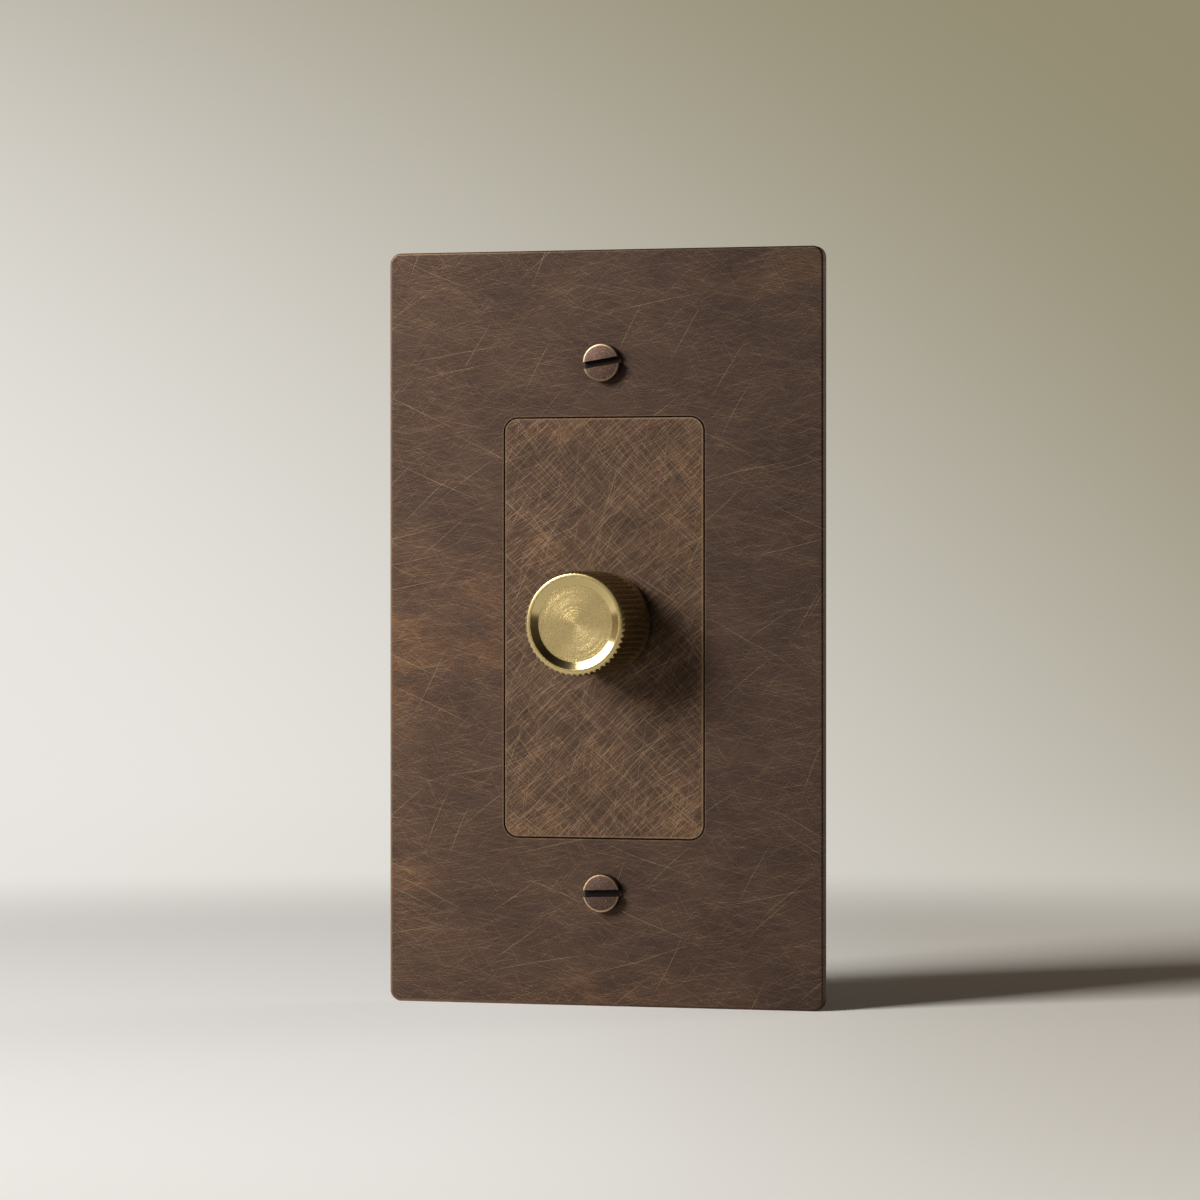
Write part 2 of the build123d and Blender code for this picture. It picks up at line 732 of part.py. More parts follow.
fixed_contacts.part.label = "fixed_contacts"
export_step(fixed_contacts.part, "parts/fixed_contacts.step")

# Return spring: a coil between the moving contact and the switch floor
spring_start = bridge_back + spring_wire / 2 + touch_gap
spring_height = switch_floor - spring_wire - 2 * touch_gap - bridge_back
with BuildPart() as return_spring:
    with BuildLine() as coil:
        spring_pitch = spring_height / spring_turns
        spring_base = (0, spring_start, axis_rise)
        Helix(spring_pitch, spring_height, spring_radius, center=spring_base, direction=(0, 1, 0))
    with BuildSketch(Plane(origin=coil.line @ 0, z_dir=coil.line % 0)):
        Circle(spring_wire / 2)
    sweep(path=coil.line, is_frenet=True)

return_spring.part.label = "return_spring"
export_step(return_spring.part, "parts/return_spring.step")

# Front cover: a moulded plate behind the strap, with lips inside the housing's walls and
# three posts that hold the terminal clamps on their seats
lip_end = cover_back + cover_lip_depth
lip_x = inner_half_width - cover_lip_room
lip_z = inner_half_height - cover_lip_room
lip_half_x = column_x - column_radius - component_gap
lip_half_z = column_z - column_radius - component_gap
screw_hole = housing_screw_diameter / 2 + housing_screw_room
triac_hole_line = triac_top - triac_hole_drop
with BuildPart() as front_cover:
    with BuildSketch(room_face(strap_back)):
        RectangleRounded(housing_width, housing_height, housing_corner_radius)
    extrude(amount=-cover_thickness)
    for side in (-1, 1):
        wall_x = sorted((side * lip_x, side * (lip_x - cover_lip_thickness)))
        wall_z = sorted((side * lip_z, side * (lip_z - cover_lip_thickness)))
        block(wall_x, (cover_back, lip_end), (-lip_half_z, lip_half_z))
        block((-lip_half_x, lip_half_x), (cover_back, lip_end), wall_z)
    for x in terminal_spots:
        post_side = (x - cover_post_width / 2, x + cover_post_width / 2)
        post_z = (clamp_line - cover_post_width / 2, clamp_line + cover_post_width / 2)
        block(post_side, (cover_back, clamp_front - touch_gap), post_z)
    collar_depth = strap_back + collar_height + collar_room
    rods(collar_radius + collar_room, strap_back, collar_depth, column_spots, mode=Mode.SUBTRACT)
    rods(screw_hole, strap_back, cover_back, column_spots, mode=Mode.SUBTRACT)
    rods(bushing_hole, strap_back, cover_back, shaft_spot, mode=Mode.SUBTRACT)
    triac_spot = [(0, triac_hole_line)]
    bite_end = cover_back - triac_screw_bite - touch_gap
    screw_radius = triac_screw_diameter / 2 + knob_fit
    rods(screw_radius, bite_end, cover_back, triac_spot, mode=Mode.SUBTRACT)

front_cover.part.label = "front_cover"
export_step(front_cover.part, "parts/front_cover.step")

# Rear housing: the deep moulded cup with screw columns, board posts, the terminal seat,
# partitions between the terminals, wire ports below and screwdriver holes behind
board_post_x = board_half_width - board_post_radius - component_gap
board_post_spots = [
    (-board_post_x, axis_rise - board_post_radius - 4 * component_gap),
    (board_post_x, axis_rise - board_post_radius - 4 * component_gap),
    (0, board_top - board_post_radius - component_gap),
]
access_radius = terminal_screw_head_diameter / 2 + access_room
access_spots = [(x, clamp_line) for x in terminal_spots]
head_seat = housing_back - housing_screw_head_height
with BuildPart() as rear_housing:
    with BuildSketch(room_face(cover_back)):
        RectangleRounded(housing_width, housing_height, housing_corner_radius)
    extrude(amount=-(housing_back - cover_back))
    fillet(rear_housing.faces().sort_by(Axis.Y)[-1].edges(), housing_wall / 2)
    inside_corner = housing_corner_radius - housing_wall
    with BuildSketch(room_face(cover_back)):
        RectangleRounded(2 * inner_half_width, 2 * inner_half_height, inside_corner)
    extrude(amount=-(floor_front - cover_back), mode=Mode.SUBTRACT)
    rods(column_radius, cover_back, floor_front, column_spots)
    rods(board_post_radius, board_back, floor_front, board_post_spots)
    seat_half = terminal_pitch + clamp_width / 2
    block((-seat_half, seat_half), (clamp_back, floor_front), (-inner_half_height, clamp_top))
    for x in (-terminal_pitch / 2, terminal_pitch / 2):
        rib_side = (x - partition_thickness / 2, x + partition_thickness / 2)
        block(rib_side, (clamp_front, floor_front), (-inner_half_height, clamp_top))
    rods(screw_hole, cover_back, housing_back, column_spots, mode=Mode.SUBTRACT)
    head_room = housing_screw_head_diameter / 2 + housing_screw_room
    rods(head_room, head_seat, housing_back, column_spots, mode=Mode.SUBTRACT)
    rods(access_radius, clamp_back, housing_back, access_spots, mode=Mode.SUBTRACT)
    thread_hole = board_screw_diameter / 2 + knob_fit
    thread_end = board_front + board_screw_length + touch_gap
    rods(thread_hole, board_back, thread_end, board_post_spots, mode=Mode.SUBTRACT)
    with BuildSketch(Plane.XY.offset(-inner_half_height)):
        with Locations(*[(x, wire_depth) for x in terminal_spots]):
            Circle(wire_port_diameter / 2)
    extrude(amount=-housing_wall, mode=Mode.SUBTRACT)

rear_housing.part.label = "rear_housing"
export_step(rear_housing.part, "parts/rear_housing.step")

# Housing screws: four long screws from behind, through the columns into the strap's collars
with BuildPart() as housing_screws:
    rods(housing_screw_head_diameter / 2, head_seat, housing_back, column_spots)
    rods(housing_screw_diameter / 2 - knob_fit, strap_front, head_seat, column_spots)
    with BuildSketch(room_face(housing_back)):
        with Locations(*column_spots):
            Rectangle(2 * housing_screw_head_diameter, slot_width / 2)
    extrude(amount=housing_screw_head_height / 2, mode=Mode.SUBTRACT)

housing_screws.part.label = "housing_screws"
export_step(housing_screws.part, "parts/housing_screws.step")

# Places of the components on the board
choke_x = -choke_centre_gap - choke_outer_radius
choke_y = board_front - choke_outer_radius - touch_gap
film_left = triac_width / 2 + 4 * component_gap
film_x = film_left + film_width / 2
film_z = column_shelf - film_height / 2
can_radius = electrolytic_diameter / 2
can_x = -triac_width / 2 - 3 * component_gap - can_radius
can_z = column_shelf - can_radius
fuse_x = choke_centre_gap + component_gap + fuse_length / 2
fuse_z = choke_line
fuse_y = board_front - fuse_diameter / 2
resistor_x = (pot_radius + inner_half_width) / 2
resistor_z = axis_rise + resistor_length / 2 + 2 * component_gap
resistor_y = board_front - resistor_diameter / 2
diac_z = pot_pin_line
diac_x = pot_pin_pitch + pot_pin_width / 2 + component_gap + diac_length / 2 + resistor_lead
diac_y = board_front - diac_diameter / 2

# Leads of each component, as (x, z) spots where they pass the board
film_leads = [(film_x, film_z - film_height / 3), (film_x, film_z + film_height / 3)]
can_leads = [(can_x - can_radius / 2, can_z), (can_x + can_radius / 2, can_z)]
triac_leads_x = [-triac_lead_pitch, 0, triac_lead_pitch]
resistor_span = resistor_length / 2 + resistor_lead
resistor_leads = [(s * resistor_x, resistor_z + e * resistor_span) for s in (-1, 1) for e in (-1, 1)]
diac_span = diac_length / 2 + resistor_lead
diac_leads = [(diac_x + e * diac_span, diac_z) for e in (-1, 1)]
choke_leads = [(choke_x - choke_wire * 2, choke_line), (choke_x + choke_wire * 2, choke_line)]
fuse_leads = [(fuse_x + e * (fuse_length - fuse_cap_length) / 2, fuse_z) for e in (-1, 1)]

# Circuit board
with BuildPart() as circuit_board:
    board_side = (-board_half_width, board_half_width)
    block(board_side, (board_front, board_back), (board_bottom, board_top))
    notch_radius = column_radius + board_room
    rods(notch_radius, board_front, board_back, column_spots, mode=Mode.SUBTRACT)
    round_leads = film_leads + can_leads + resistor_leads + diac_leads + choke_leads + fuse_leads
    lead_hole = pin_diameter / 2 + pin_room
    rods(lead_hole, board_front, board_back, round_leads, mode=Mode.SUBTRACT)
    rods(post_pin_radius + pin_room, board_front, board_back, contact_spots, mode=Mode.SUBTRACT)
    screw_clear = board_screw_diameter / 2 + pin_room
    rods(screw_clear, board_front, board_back, board_post_spots, mode=Mode.SUBTRACT)
    track_hole = math.hypot(pot_pin_width, pot_pin_thickness) / 2 + pin_room
    track_spots = [(x, pot_pin_line + pot_pin_thickness / 2) for x in pin_spots]
    rods(track_hole, board_front, board_back, track_spots, mode=Mode.SUBTRACT)
    lead_line_hole = math.hypot(triac_lead_width, triac_lead_thickness) / 2 + pin_room
    triac_spots = [(x, lead_line) for x in triac_leads_x]
    rods(lead_line_hole, board_front, board_back, triac_spots, mode=Mode.SUBTRACT)

circuit_board.part.label = "circuit_board"
export_step(circuit_board.part, "parts/circuit_board.step")

# Board screws
with BuildPart() as board_screws:
    board_head_front = board_front - board_screw_head_height
    rods(board_screw_head_diameter / 2, board_head_front, board_front, board_post_spots)
    rods(board_screw_diameter / 2, board_front, board_front + board_screw_length, board_post_spots)
    with BuildSketch(room_face(board_head_front)):
        with Locations(*board_post_spots):
            Rectangle(2 * board_screw_head_diameter, slot_width / 2)
    extrude(amount=-board_screw_head_height / 2, mode=Mode.SUBTRACT)

board_screws.part.label = "board_screws"
export_step(board_screws.part, "parts/board_screws.step")

# Heat sink: an aluminium sheet on the back of the cover
heat_sink_top = lip_z - cover_lip_thickness - component_gap
heat_sink_z = (triac_bottom - pad_overhang - component_gap, heat_sink_top)
with BuildPart() as heat_sink:
    sink_side = (-heat_sink_width / 2, heat_sink_width / 2)
    block(sink_side, (cover_back, heat_sink_back), heat_sink_z)
    rods(screw_radius, cover_back, heat_sink_back, triac_spot, mode=Mode.SUBTRACT)

heat_sink.part.label = "heat_sink"
export_step(heat_sink.part, "parts/heat_sink.step")

# Insulating pad between the heat sink and the triac
with BuildPart() as insulating_pad:
    pad_side = (-triac_width / 2 - pad_overhang, triac_width / 2 + pad_overhang)
    block(pad_side, (heat_sink_back, tab_front), (triac_bottom - pad_overhang, triac_top))
    rods(screw_radius, heat_sink_back, tab_front, triac_spot, mode=Mode.SUBTRACT)

insulating_pad.part.label = "insulating_pad"
export_step(insulating_pad.part, "parts/insulating_pad.step")

# Triac: the power switch in its tabbed case
with BuildPart() as triac:
    triac_side = (-triac_width / 2, triac_width / 2)
    block(triac_side, (tab_front, tab_back), (triac_bottom, triac_top))
    block(triac_side, (tab_front, tab_front + triac_thickness), (triac_bottom, triac_body_top))
    rods(triac_hole_diameter / 2, tab_front, tab_back, triac_spot, mode=Mode.SUBTRACT)

triac.part.label = "triac"
export_step(triac.part, "parts/triac.step")

# Triac leads: three flat legs that bend back into the board
with BuildPart() as triac_leads:
    leg_front = tab_front + triac_lead_depth
    half_leg = triac_lead_thickness / 2
    for x in triac_leads_x:
        leg_side = (x - triac_lead_width / 2, x + triac_lead_width / 2)
        leg_depth = (leg_front - half_leg, leg_front + half_leg)
        block(leg_side, leg_depth, (lead_line - half_leg, triac_bottom))
        block(leg_side, (leg_front - half_leg, pin_end), (lead_line - half_leg, lead_line + half_leg))

triac_leads.part.label = "triac_leads"
export_step(triac_leads.part, "parts/triac_leads.step")

# Triac screw: from behind, through the tab and the pad into the heat sink and the cover
with BuildPart() as triac_screw:
    triac_head_back = tab_back + triac_screw_head_height
    rods(triac_screw_head_diameter / 2, tab_back, triac_head_back, triac_spot)
    rods(triac_screw_diameter / 2, cover_back - triac_screw_bite, tab_back, triac_spot)
    with BuildSketch(room_face(triac_head_back)):
        with Locations(*triac_spot):
            Rectangle(2 * triac_screw_head_diameter, slot_width / 2)
    extrude(amount=triac_screw_head_height / 2, mode=Mode.SUBTRACT)

triac_screw.part.label = "triac_screw"
export_step(triac_screw.part, "parts/triac_screw.step")

# Choke core: a ring that stands on the board, with its axis upright
with BuildPart() as choke_core:
    with BuildSketch(Plane.XY.offset(choke_line - choke_core_height / 2)):
        with Locations((choke_x, choke_y)):
            Circle(choke_core_radius)
            Circle(choke_bore_radius, mode=Mode.SUBTRACT)
    extrude(amount=choke_core_height)
    fillet(choke_core.edges().filter_by(GeomType.CIRCLE), choke_wire / 2)

choke_core.part.label = "choke_core"
export_step(choke_core.part, "parts/choke_core.step")

# Choke winding: turns of enamelled wire round the ring's section, and its two ends
with BuildPart() as choke_winding:
    turn_middle = (choke_bore_radius + choke_core_radius) / 2
    turn_width = choke_core_radius - choke_bore_radius + 2 * choke_wire_room
    turn_height = choke_core_height + 2 * choke_wire_room
    for index in range(choke_turns):
        angle = math.radians(360 * (index + 0.5) / choke_turns)
        outwards = (math.cos(angle), math.sin(angle), 0)
        along_ring = (-math.sin(angle), math.cos(angle), 0)
        with BuildSketch(Plane((choke_x, choke_y, choke_line), x_dir=outwards, z_dir=along_ring)):
            with Locations((turn_middle, 0)):
                outer_size = (turn_width + 2 * choke_wire, turn_height + 2 * choke_wire)
                RectangleRounded(*outer_size, choke_wire + choke_wire_room)
                Rectangle(turn_width, turn_height, mode=Mode.SUBTRACT)
        extrude(amount=choke_wire / 2, both=True)
    rods(choke_wire / 2, choke_y + choke_core_radius, pin_end, choke_leads)

choke_winding.part.label = "choke_winding"
export_step(choke_winding.part, "parts/choke_winding.step")

# Film capacitor: a moulded box with two pins
with BuildPart() as film_capacitor:
    film_side = (film_left, film_left + film_width)
    block(film_side, (board_front - film_depth, board_front), (film_z - film_height / 2, column_shelf))
    fillet(film_capacitor.edges(), film_width / 12)
    rods(pin_diameter / 2, board_front - pin_stub, pin_end, film_leads)

film_capacitor.part.label = "film_capacitor"
export_step(film_capacitor.part, "parts/film_capacitor.step")

# Electrolytic capacitor: a can with a crimped groove near its base and two pins
with BuildPart() as electrolytic_capacitor:
    can_front = board_front - electrolytic_length
    can_groove = board_front - electrolytic_length / 6
    rods(can_radius, can_front, board_front, [(can_x, can_z)])
    fillet(electrolytic_capacitor.edges().filter_by(GeomType.CIRCLE), can_radius / 8)
    with Locations(Location((can_x, can_groove, can_z), (90, 0, 0))):
        Torus(can_radius + pin_diameter / 4, pin_diameter / 2, mode=Mode.SUBTRACT)
    rods(pin_diameter / 2, board_front - pin_stub, pin_end, can_leads)

electrolytic_capacitor.part.label = "electrolytic_capacitor"
export_step(electrolytic_capacitor.part, "parts/electrolytic_capacitor.step")

# Fuse: a glass tube between two end caps, each with a pin
fuse_start = fuse_x - fuse_length / 2
fuse_end = fuse_x + fuse_length / 2
with BuildPart() as fuse_tube:
    with BuildSketch(Plane.YZ.offset(fuse_start + fuse_cap_length)):
        with Locations((fuse_y, fuse_z)):
            Circle(fuse_diameter / 2 - pin_room)
    extrude(amount=fuse_length - 2 * fuse_cap_length)

fuse_tube.part.label = "fuse_tube"
export_step(fuse_tube.part, "parts/fuse_tube.step")

with BuildPart() as fuse_caps:
    for plane_x in (fuse_start, fuse_end - fuse_cap_length):
        with BuildSketch(Plane.YZ.offset(plane_x)):
            with Locations((fuse_y, fuse_z)):
                Circle(fuse_diameter / 2)
        extrude(amount=fuse_cap_length)
    rods(pin_diameter / 2, fuse_y, pin_end, fuse_leads)

fuse_caps.part.label = "fuse_caps"
export_step(fuse_caps.part, "parts/fuse_caps.step")

# Resistors: one each side of the potentiometer, lying on the board with bent leads
with BuildPart() as resistors:
    for side in (-1, 1):
        body_end = resistor_z - resistor_length / 2
        for radius, low, length in (
            (resistor_diameter / 2, body_end, resistor_length),
            (pin_diameter / 2, resistor_z - resistor_span, 2 * resistor_span),
        ):
            with BuildSketch(Plane.XY.offset(low)):
                with Locations((side * resistor_x, resistor_y)):
                    Circle(radius)
            extrude(amount=length)
    rods(pin_diameter / 2, resistor_y, pin_end, resistor_leads)

resistors.part.label = "resistors"
export_step(resistors.part, "parts/resistors.step")

# Diac: the small trigger diode below the potentiometer
with BuildPart() as diac:
    for radius, half in ((diac_diameter / 2, diac_length / 2), (pin_diameter / 2, diac_span)):
        with BuildSketch(Plane.YZ.offset(diac_x - half)):
            with Locations((diac_y, diac_z)):
                Circle(radius)
        extrude(amount=2 * half)
    rods(pin_diameter / 2, diac_y, pin_end, diac_leads)

diac.part.label = "diac"
export_step(diac.part, "parts/diac.step")

# Terminal clamps: brass blocks with a wire bore from below and a tapped hole from behind
with BuildPart() as terminal_clamps:
    for x in terminal_spots:
        clamp_side = (x - clamp_width / 2, x + clamp_width / 2)
        block(clamp_side, (clamp_front, clamp_back), (clamp_bottom, clamp_top))
    with BuildSketch(Plane.XY.offset(clamp_bottom)):
        with Locations(*[(x, wire_depth) for x in terminal_spots]):
            Circle(wire_bore_diameter / 2)
    extrude(amount=clamp_height, mode=Mode.SUBTRACT)
    tapped = terminal_screw_diameter / 2 + knob_fit
    rods(tapped, wire_depth, clamp_back, access_spots, mode=Mode.SUBTRACT)

terminal_clamps.part.label = "terminal_clamps"
export_step(terminal_clamps.part, "parts/terminal_clamps.step")

# Terminal screws: slotted, backed off so that the wire bores are clear
with BuildPart() as terminal_screws:
    head_start = clamp_back + terminal_screw_lift
    head_end = head_start + terminal_screw_head_height
    shank_start = wire_depth + wire_bore_diameter / 2 + terminal_screw_lift
    rods(terminal_screw_head_diameter / 2, head_start, head_end, access_spots)
    rods(terminal_screw_diameter / 2, shank_start, head_start, access_spots)
    with BuildSketch(room_face(head_end)):
        with Locations(*access_spots):
            Rectangle(2 * terminal_screw_head_diameter, slot_width / 2)
    extrude(amount=terminal_screw_head_height / 2, mode=Mode.SUBTRACT)

terminal_screws.part.label = "terminal_screws"
export_step(terminal_screws.part, "parts/terminal_screws.step")

# Terminal tails: strips from the clamps to the board's front face
with BuildPart() as terminal_tails:
    for x in terminal_spots:
        tail_side = (x - tail_width / 2, x + tail_width / 2)
        tail_depth = (board_front - tail_thickness, board_front)
        block(tail_side, tail_depth, (clamp_top, board_bottom + tail_overlap))

terminal_tails.part.label = "terminal_tails"
export_step(terminal_tails.part, "parts/terminal_tails.step")
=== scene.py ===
import json
import math

import bpy
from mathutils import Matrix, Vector


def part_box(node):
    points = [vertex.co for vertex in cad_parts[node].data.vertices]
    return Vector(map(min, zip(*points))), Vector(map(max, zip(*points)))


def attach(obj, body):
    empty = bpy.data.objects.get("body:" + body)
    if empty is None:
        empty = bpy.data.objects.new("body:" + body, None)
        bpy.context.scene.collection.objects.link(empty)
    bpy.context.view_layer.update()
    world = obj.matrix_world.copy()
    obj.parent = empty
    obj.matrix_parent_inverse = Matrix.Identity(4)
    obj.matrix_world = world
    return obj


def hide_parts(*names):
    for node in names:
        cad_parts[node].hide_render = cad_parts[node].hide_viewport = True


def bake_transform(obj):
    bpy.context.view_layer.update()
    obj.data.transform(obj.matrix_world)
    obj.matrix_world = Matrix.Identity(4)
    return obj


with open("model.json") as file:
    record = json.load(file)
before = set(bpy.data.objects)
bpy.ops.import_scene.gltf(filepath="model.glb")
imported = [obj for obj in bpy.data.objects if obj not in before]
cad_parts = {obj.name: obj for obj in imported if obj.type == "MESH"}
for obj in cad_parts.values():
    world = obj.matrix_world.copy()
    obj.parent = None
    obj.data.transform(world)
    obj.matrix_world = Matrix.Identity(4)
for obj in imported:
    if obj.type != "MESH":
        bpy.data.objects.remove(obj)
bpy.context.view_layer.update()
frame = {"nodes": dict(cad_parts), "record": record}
nodes = frame["nodes"]

MM = 0.001

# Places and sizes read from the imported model, in metres
plate_low, plate_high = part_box("wall_plate")
insert_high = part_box("insert_plate")[1]
screws_low, screws_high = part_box("plate_screws")
knob_low, knob_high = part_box("knob")
bushing_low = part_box("pot_bushing")[0]
set_screw_low, set_screw_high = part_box("knob_set_screw")
shaft_low, shaft_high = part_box("shaft")

axis_height = (knob_low.z + knob_high.z) / 2
knob_radius = (knob_high.z - knob_low.z) / 2
screw_radius = screws_high.x
screw_height = screws_high.z - screw_radius
screw_spots = [(0, screw_height), (0, -screw_height)]

# The knob's front: a round bevel, a flat rim, a sloping step and the sunk face
knob_bevel = 0.38 * MM
rim_outer = knob_radius - knob_bevel
rim_inner = rim_outer - 0.62 * MM
face_radius = rim_inner - 1.15 * MM
face_depth = 0.5 * MM

# The knob's side: v grooves between narrow lands, and a plain band at the back
knurl_count = 54
knurl_depth = 0.36 * MM
knurl_land = 0.12 * MM
points_per_knurl = 12
knob_band = 1.8 * MM


class Tone:
    """What a node gives out: a number, a vector or a colour that varies over a surface."""

    def __init__(self, finish, socket):
        self.finish = finish
        self.socket = socket

    def maths(self, operation, *values):
        """A Math node on numbers, or a Vector Math node as soon as one value is a vector."""
        vectors = [v for v in values if is_vector(v)]
        kind = "ShaderNodeVectorMath" if vectors else "ShaderNodeMath"
        if vectors:
            values = [v if is_vector(v) or isinstance(v, Tone) else (v, v, v) for v in values]
        return self.finish.node(kind, {"operation": operation}, dict(enumerate(values)))

    def __add__(self, other):
        return self.maths("ADD", self, other)

    def __radd__(self, other):
        return self.maths("ADD", other, self)

    def __sub__(self, other):
        return self.maths("SUBTRACT", self, other)

    def __rsub__(self, other):
        return self.maths("SUBTRACT", other, self)

    def __mul__(self, other):
        return self.maths("MULTIPLY", self, other)

    def __rmul__(self, other):
        return self.maths("MULTIPLY", other, self)

    def __truediv__(self, other):
        return self.maths("DIVIDE", self, other)

    def __rtruediv__(self, other):
        return self.maths("DIVIDE", other, self)

    def __abs__(self):
        return self.maths("ABSOLUTE", self)

    def largest(self, other):
        return self.maths("MAXIMUM", self, other)

    def smallest(self, other):
        return self.maths("MINIMUM", self, other)

    def step(self, low, high):
        """0 below low, 1 above high and smooth between, or the other way round if low is more."""
        rising = {"Value": self, "From Min": min(low, high), "From Max": max(low, high)}
        rising.update({"To Min": float(low > high), "To Max": float(low < high)})
        return self.finish.node("ShaderNodeMapRange", {"interpolation_type": "SMOOTHSTEP"}, rising)

    def length(self):
        return self.finish.node("ShaderNodeVectorMath", {"operation": "LENGTH"}, {0: self}, "Value")

    def part(self, axis):
        return self.finish.node("ShaderNodeSeparateXYZ", {}, {"Vector": self}, axis)


def is_vector(value):
    if isinstance(value, Tone):
        return value.socket.type == "VECTOR"
    return isinstance(value, (tuple, list, Vector))


class Finish:
    """One material. Its nodes are added by node(), and coat() sets the shader's own sockets."""

    def __init__(self, name):
        self.material = bpy.data.materials.new(name)
        self.material.use_nodes = True
        self.tree = self.material.node_tree
        self.shader = self.tree.nodes["Principled BSDF"]

    def node(self, kind, settings, inputs, output=0):
        """Adds a node: its settings first, then the values or links of its sockets."""
        added = self.tree.nodes.new(kind)
        for name, value in settings.items():
            setattr(added, name, value)
        for name, value in inputs.items():
            self.put(added.inputs[name], value)
        return Tone(self, added.outputs[output])

    def put(self, socket, value):
        if isinstance(value, Tone):
            self.tree.links.new(value.socket, socket)
        elif socket.type == "RGBA":
            socket.default_value = (*value[:3], 1.0)
        else:
            socket.default_value = value

    def coat(self, **sockets):
        """Sets sockets of the shader, written as base_color for Base Color."""
        for name, value in sockets.items():
            socket = name.replace("_", " ").title().replace("Ior", "IOR")
            self.put(self.shader.inputs[socket], value)
        return self.material

    def place(self):
        """Where a point lies in the model's frame, in millimetres."""
        return self.node("ShaderNodeTexCoord", {}, {}, "Object") * 1000

    def vector(self, x, y, z):
        return self.node("ShaderNodeCombineXYZ", {}, {"X": x, "Y": y, "Z": z})

    def noise(self, place, scale=1.0, detail=2.0, rough=0.5, bend=0.0):
        inputs = {"Vector": place, "Scale": scale, "Detail": detail, "Roughness": rough}
        inputs["Distortion"] = bend
        return self.node("ShaderNodeTexNoise", {}, inputs)

    def mix(self, share, first, second):
        """A colour between two colours."""
        inputs = {0: share, 6: first, 7: second}
        return self.node("ShaderNodeMix", {"data_type": "RGBA"}, inputs, 2)

    def bump(self, height, depth):
        """A normal from a height of 0 to 1, depth metres deep."""
        inputs = {"Height": height, "Distance": depth, "Strength": 1.0}
        return self.node("ShaderNodeBump", {}, inputs)


def linear(shade):
    """One channel of a colour as it looks on a screen, from 0 to 255, as a shader takes it."""
    if shade <= 10:
        return shade / 255 / 12.92
    return ((shade / 255 + 0.055) / 1.055) ** 2.4


def paint(*shades):
    """A colour as it looks on a screen, as the linear colour that a shader takes."""
    return tuple(linear(shade) for shade in shades)


def drawn_out(f, place, degrees, length, width, shift):
    """The place turned and scaled, so that one unit is length along a scratch and width across.

    shift, in mm, keeps the layers apart.
    """
    mapping = {"Vector": place, "Location": (*shift, 0)}
    mapping["Rotation"] = (0, 0, math.radians(degrees))
    mapping["Scale"] = (length, width, 1)
    return f.node("ShaderNodeMapping", {"vector_type": "TEXTURE"}, mapping)


def strokes(f, place, degrees, length, width, count, seed):
    """Thin scratches with tapered ends, in mm, count of them in each square centimetre."""
    share = math.sqrt(length * width / 4 * count / 100)
    shift = (seed * 31.7, seed * 17.9)
    cells = drawn_out(f, place, degrees, length / 2 / share, width / 2 / share, shift)
    inputs = {"Vector": cells, "Scale": 1.0}
    off = f.node("ShaderNodeTexVoronoi", {"voronoi_dimensions": "2D"}, inputs)
    return off.step(share, share * 0.25)


def brushed(f, place, degrees, length, width, seed):
    """Dense fine lines in one direction, in mm, as a number about 0.5."""
    lines = drawn_out(f, place, degrees, length, width, (seed * 13.3, seed * 7.7))
    inputs = {"Vector": lines, "Scale": 1.0, "Detail": 2.0, "Roughness": 0.6}
    return f.node("ShaderNodeTexNoise", {"noise_dimensions": "2D"}, inputs)


def rounded_edge(flat, half_width, half_height, corner):
    """How far a point lies outside a rounded rectangle, in mm, and below 0 inside it."""
    away = abs(flat) - (half_width - corner, half_height - corner, 0)
    beyond = away.largest((0.0, 0.0, 0.0)).length()
    within = away.part("X").largest(away.part("Y")).smallest(0)
    return beyond + within - corner


def warm_patch(flat, x, z, across, up):
    """1 at the middle of an oval place on the front, fading to 0 at its edge."""
    off = (flat - (x, z, 0)) / (across, up, 1)
    return off.length().step(1.0, 0.15)


def front_of(f):
    """The place of a point on the front as (x, z, 0), in mm."""
    here = f.place()
    return f.vector(here.part("X"), here.part("Z"), 0.0)


# Shades of the bronze: its smoke, the copper under it, worn metal and the pits
SLATE = paint(64, 49, 44)
SMOKE = paint(88, 68, 58)
OCHRE = paint(122, 83, 52)
RUBBED = paint(172, 138, 106)
NICKED = paint(206, 180, 142)
PITTED = paint(40, 29, 25)
BLACK = (0.0, 0.0, 0.0)


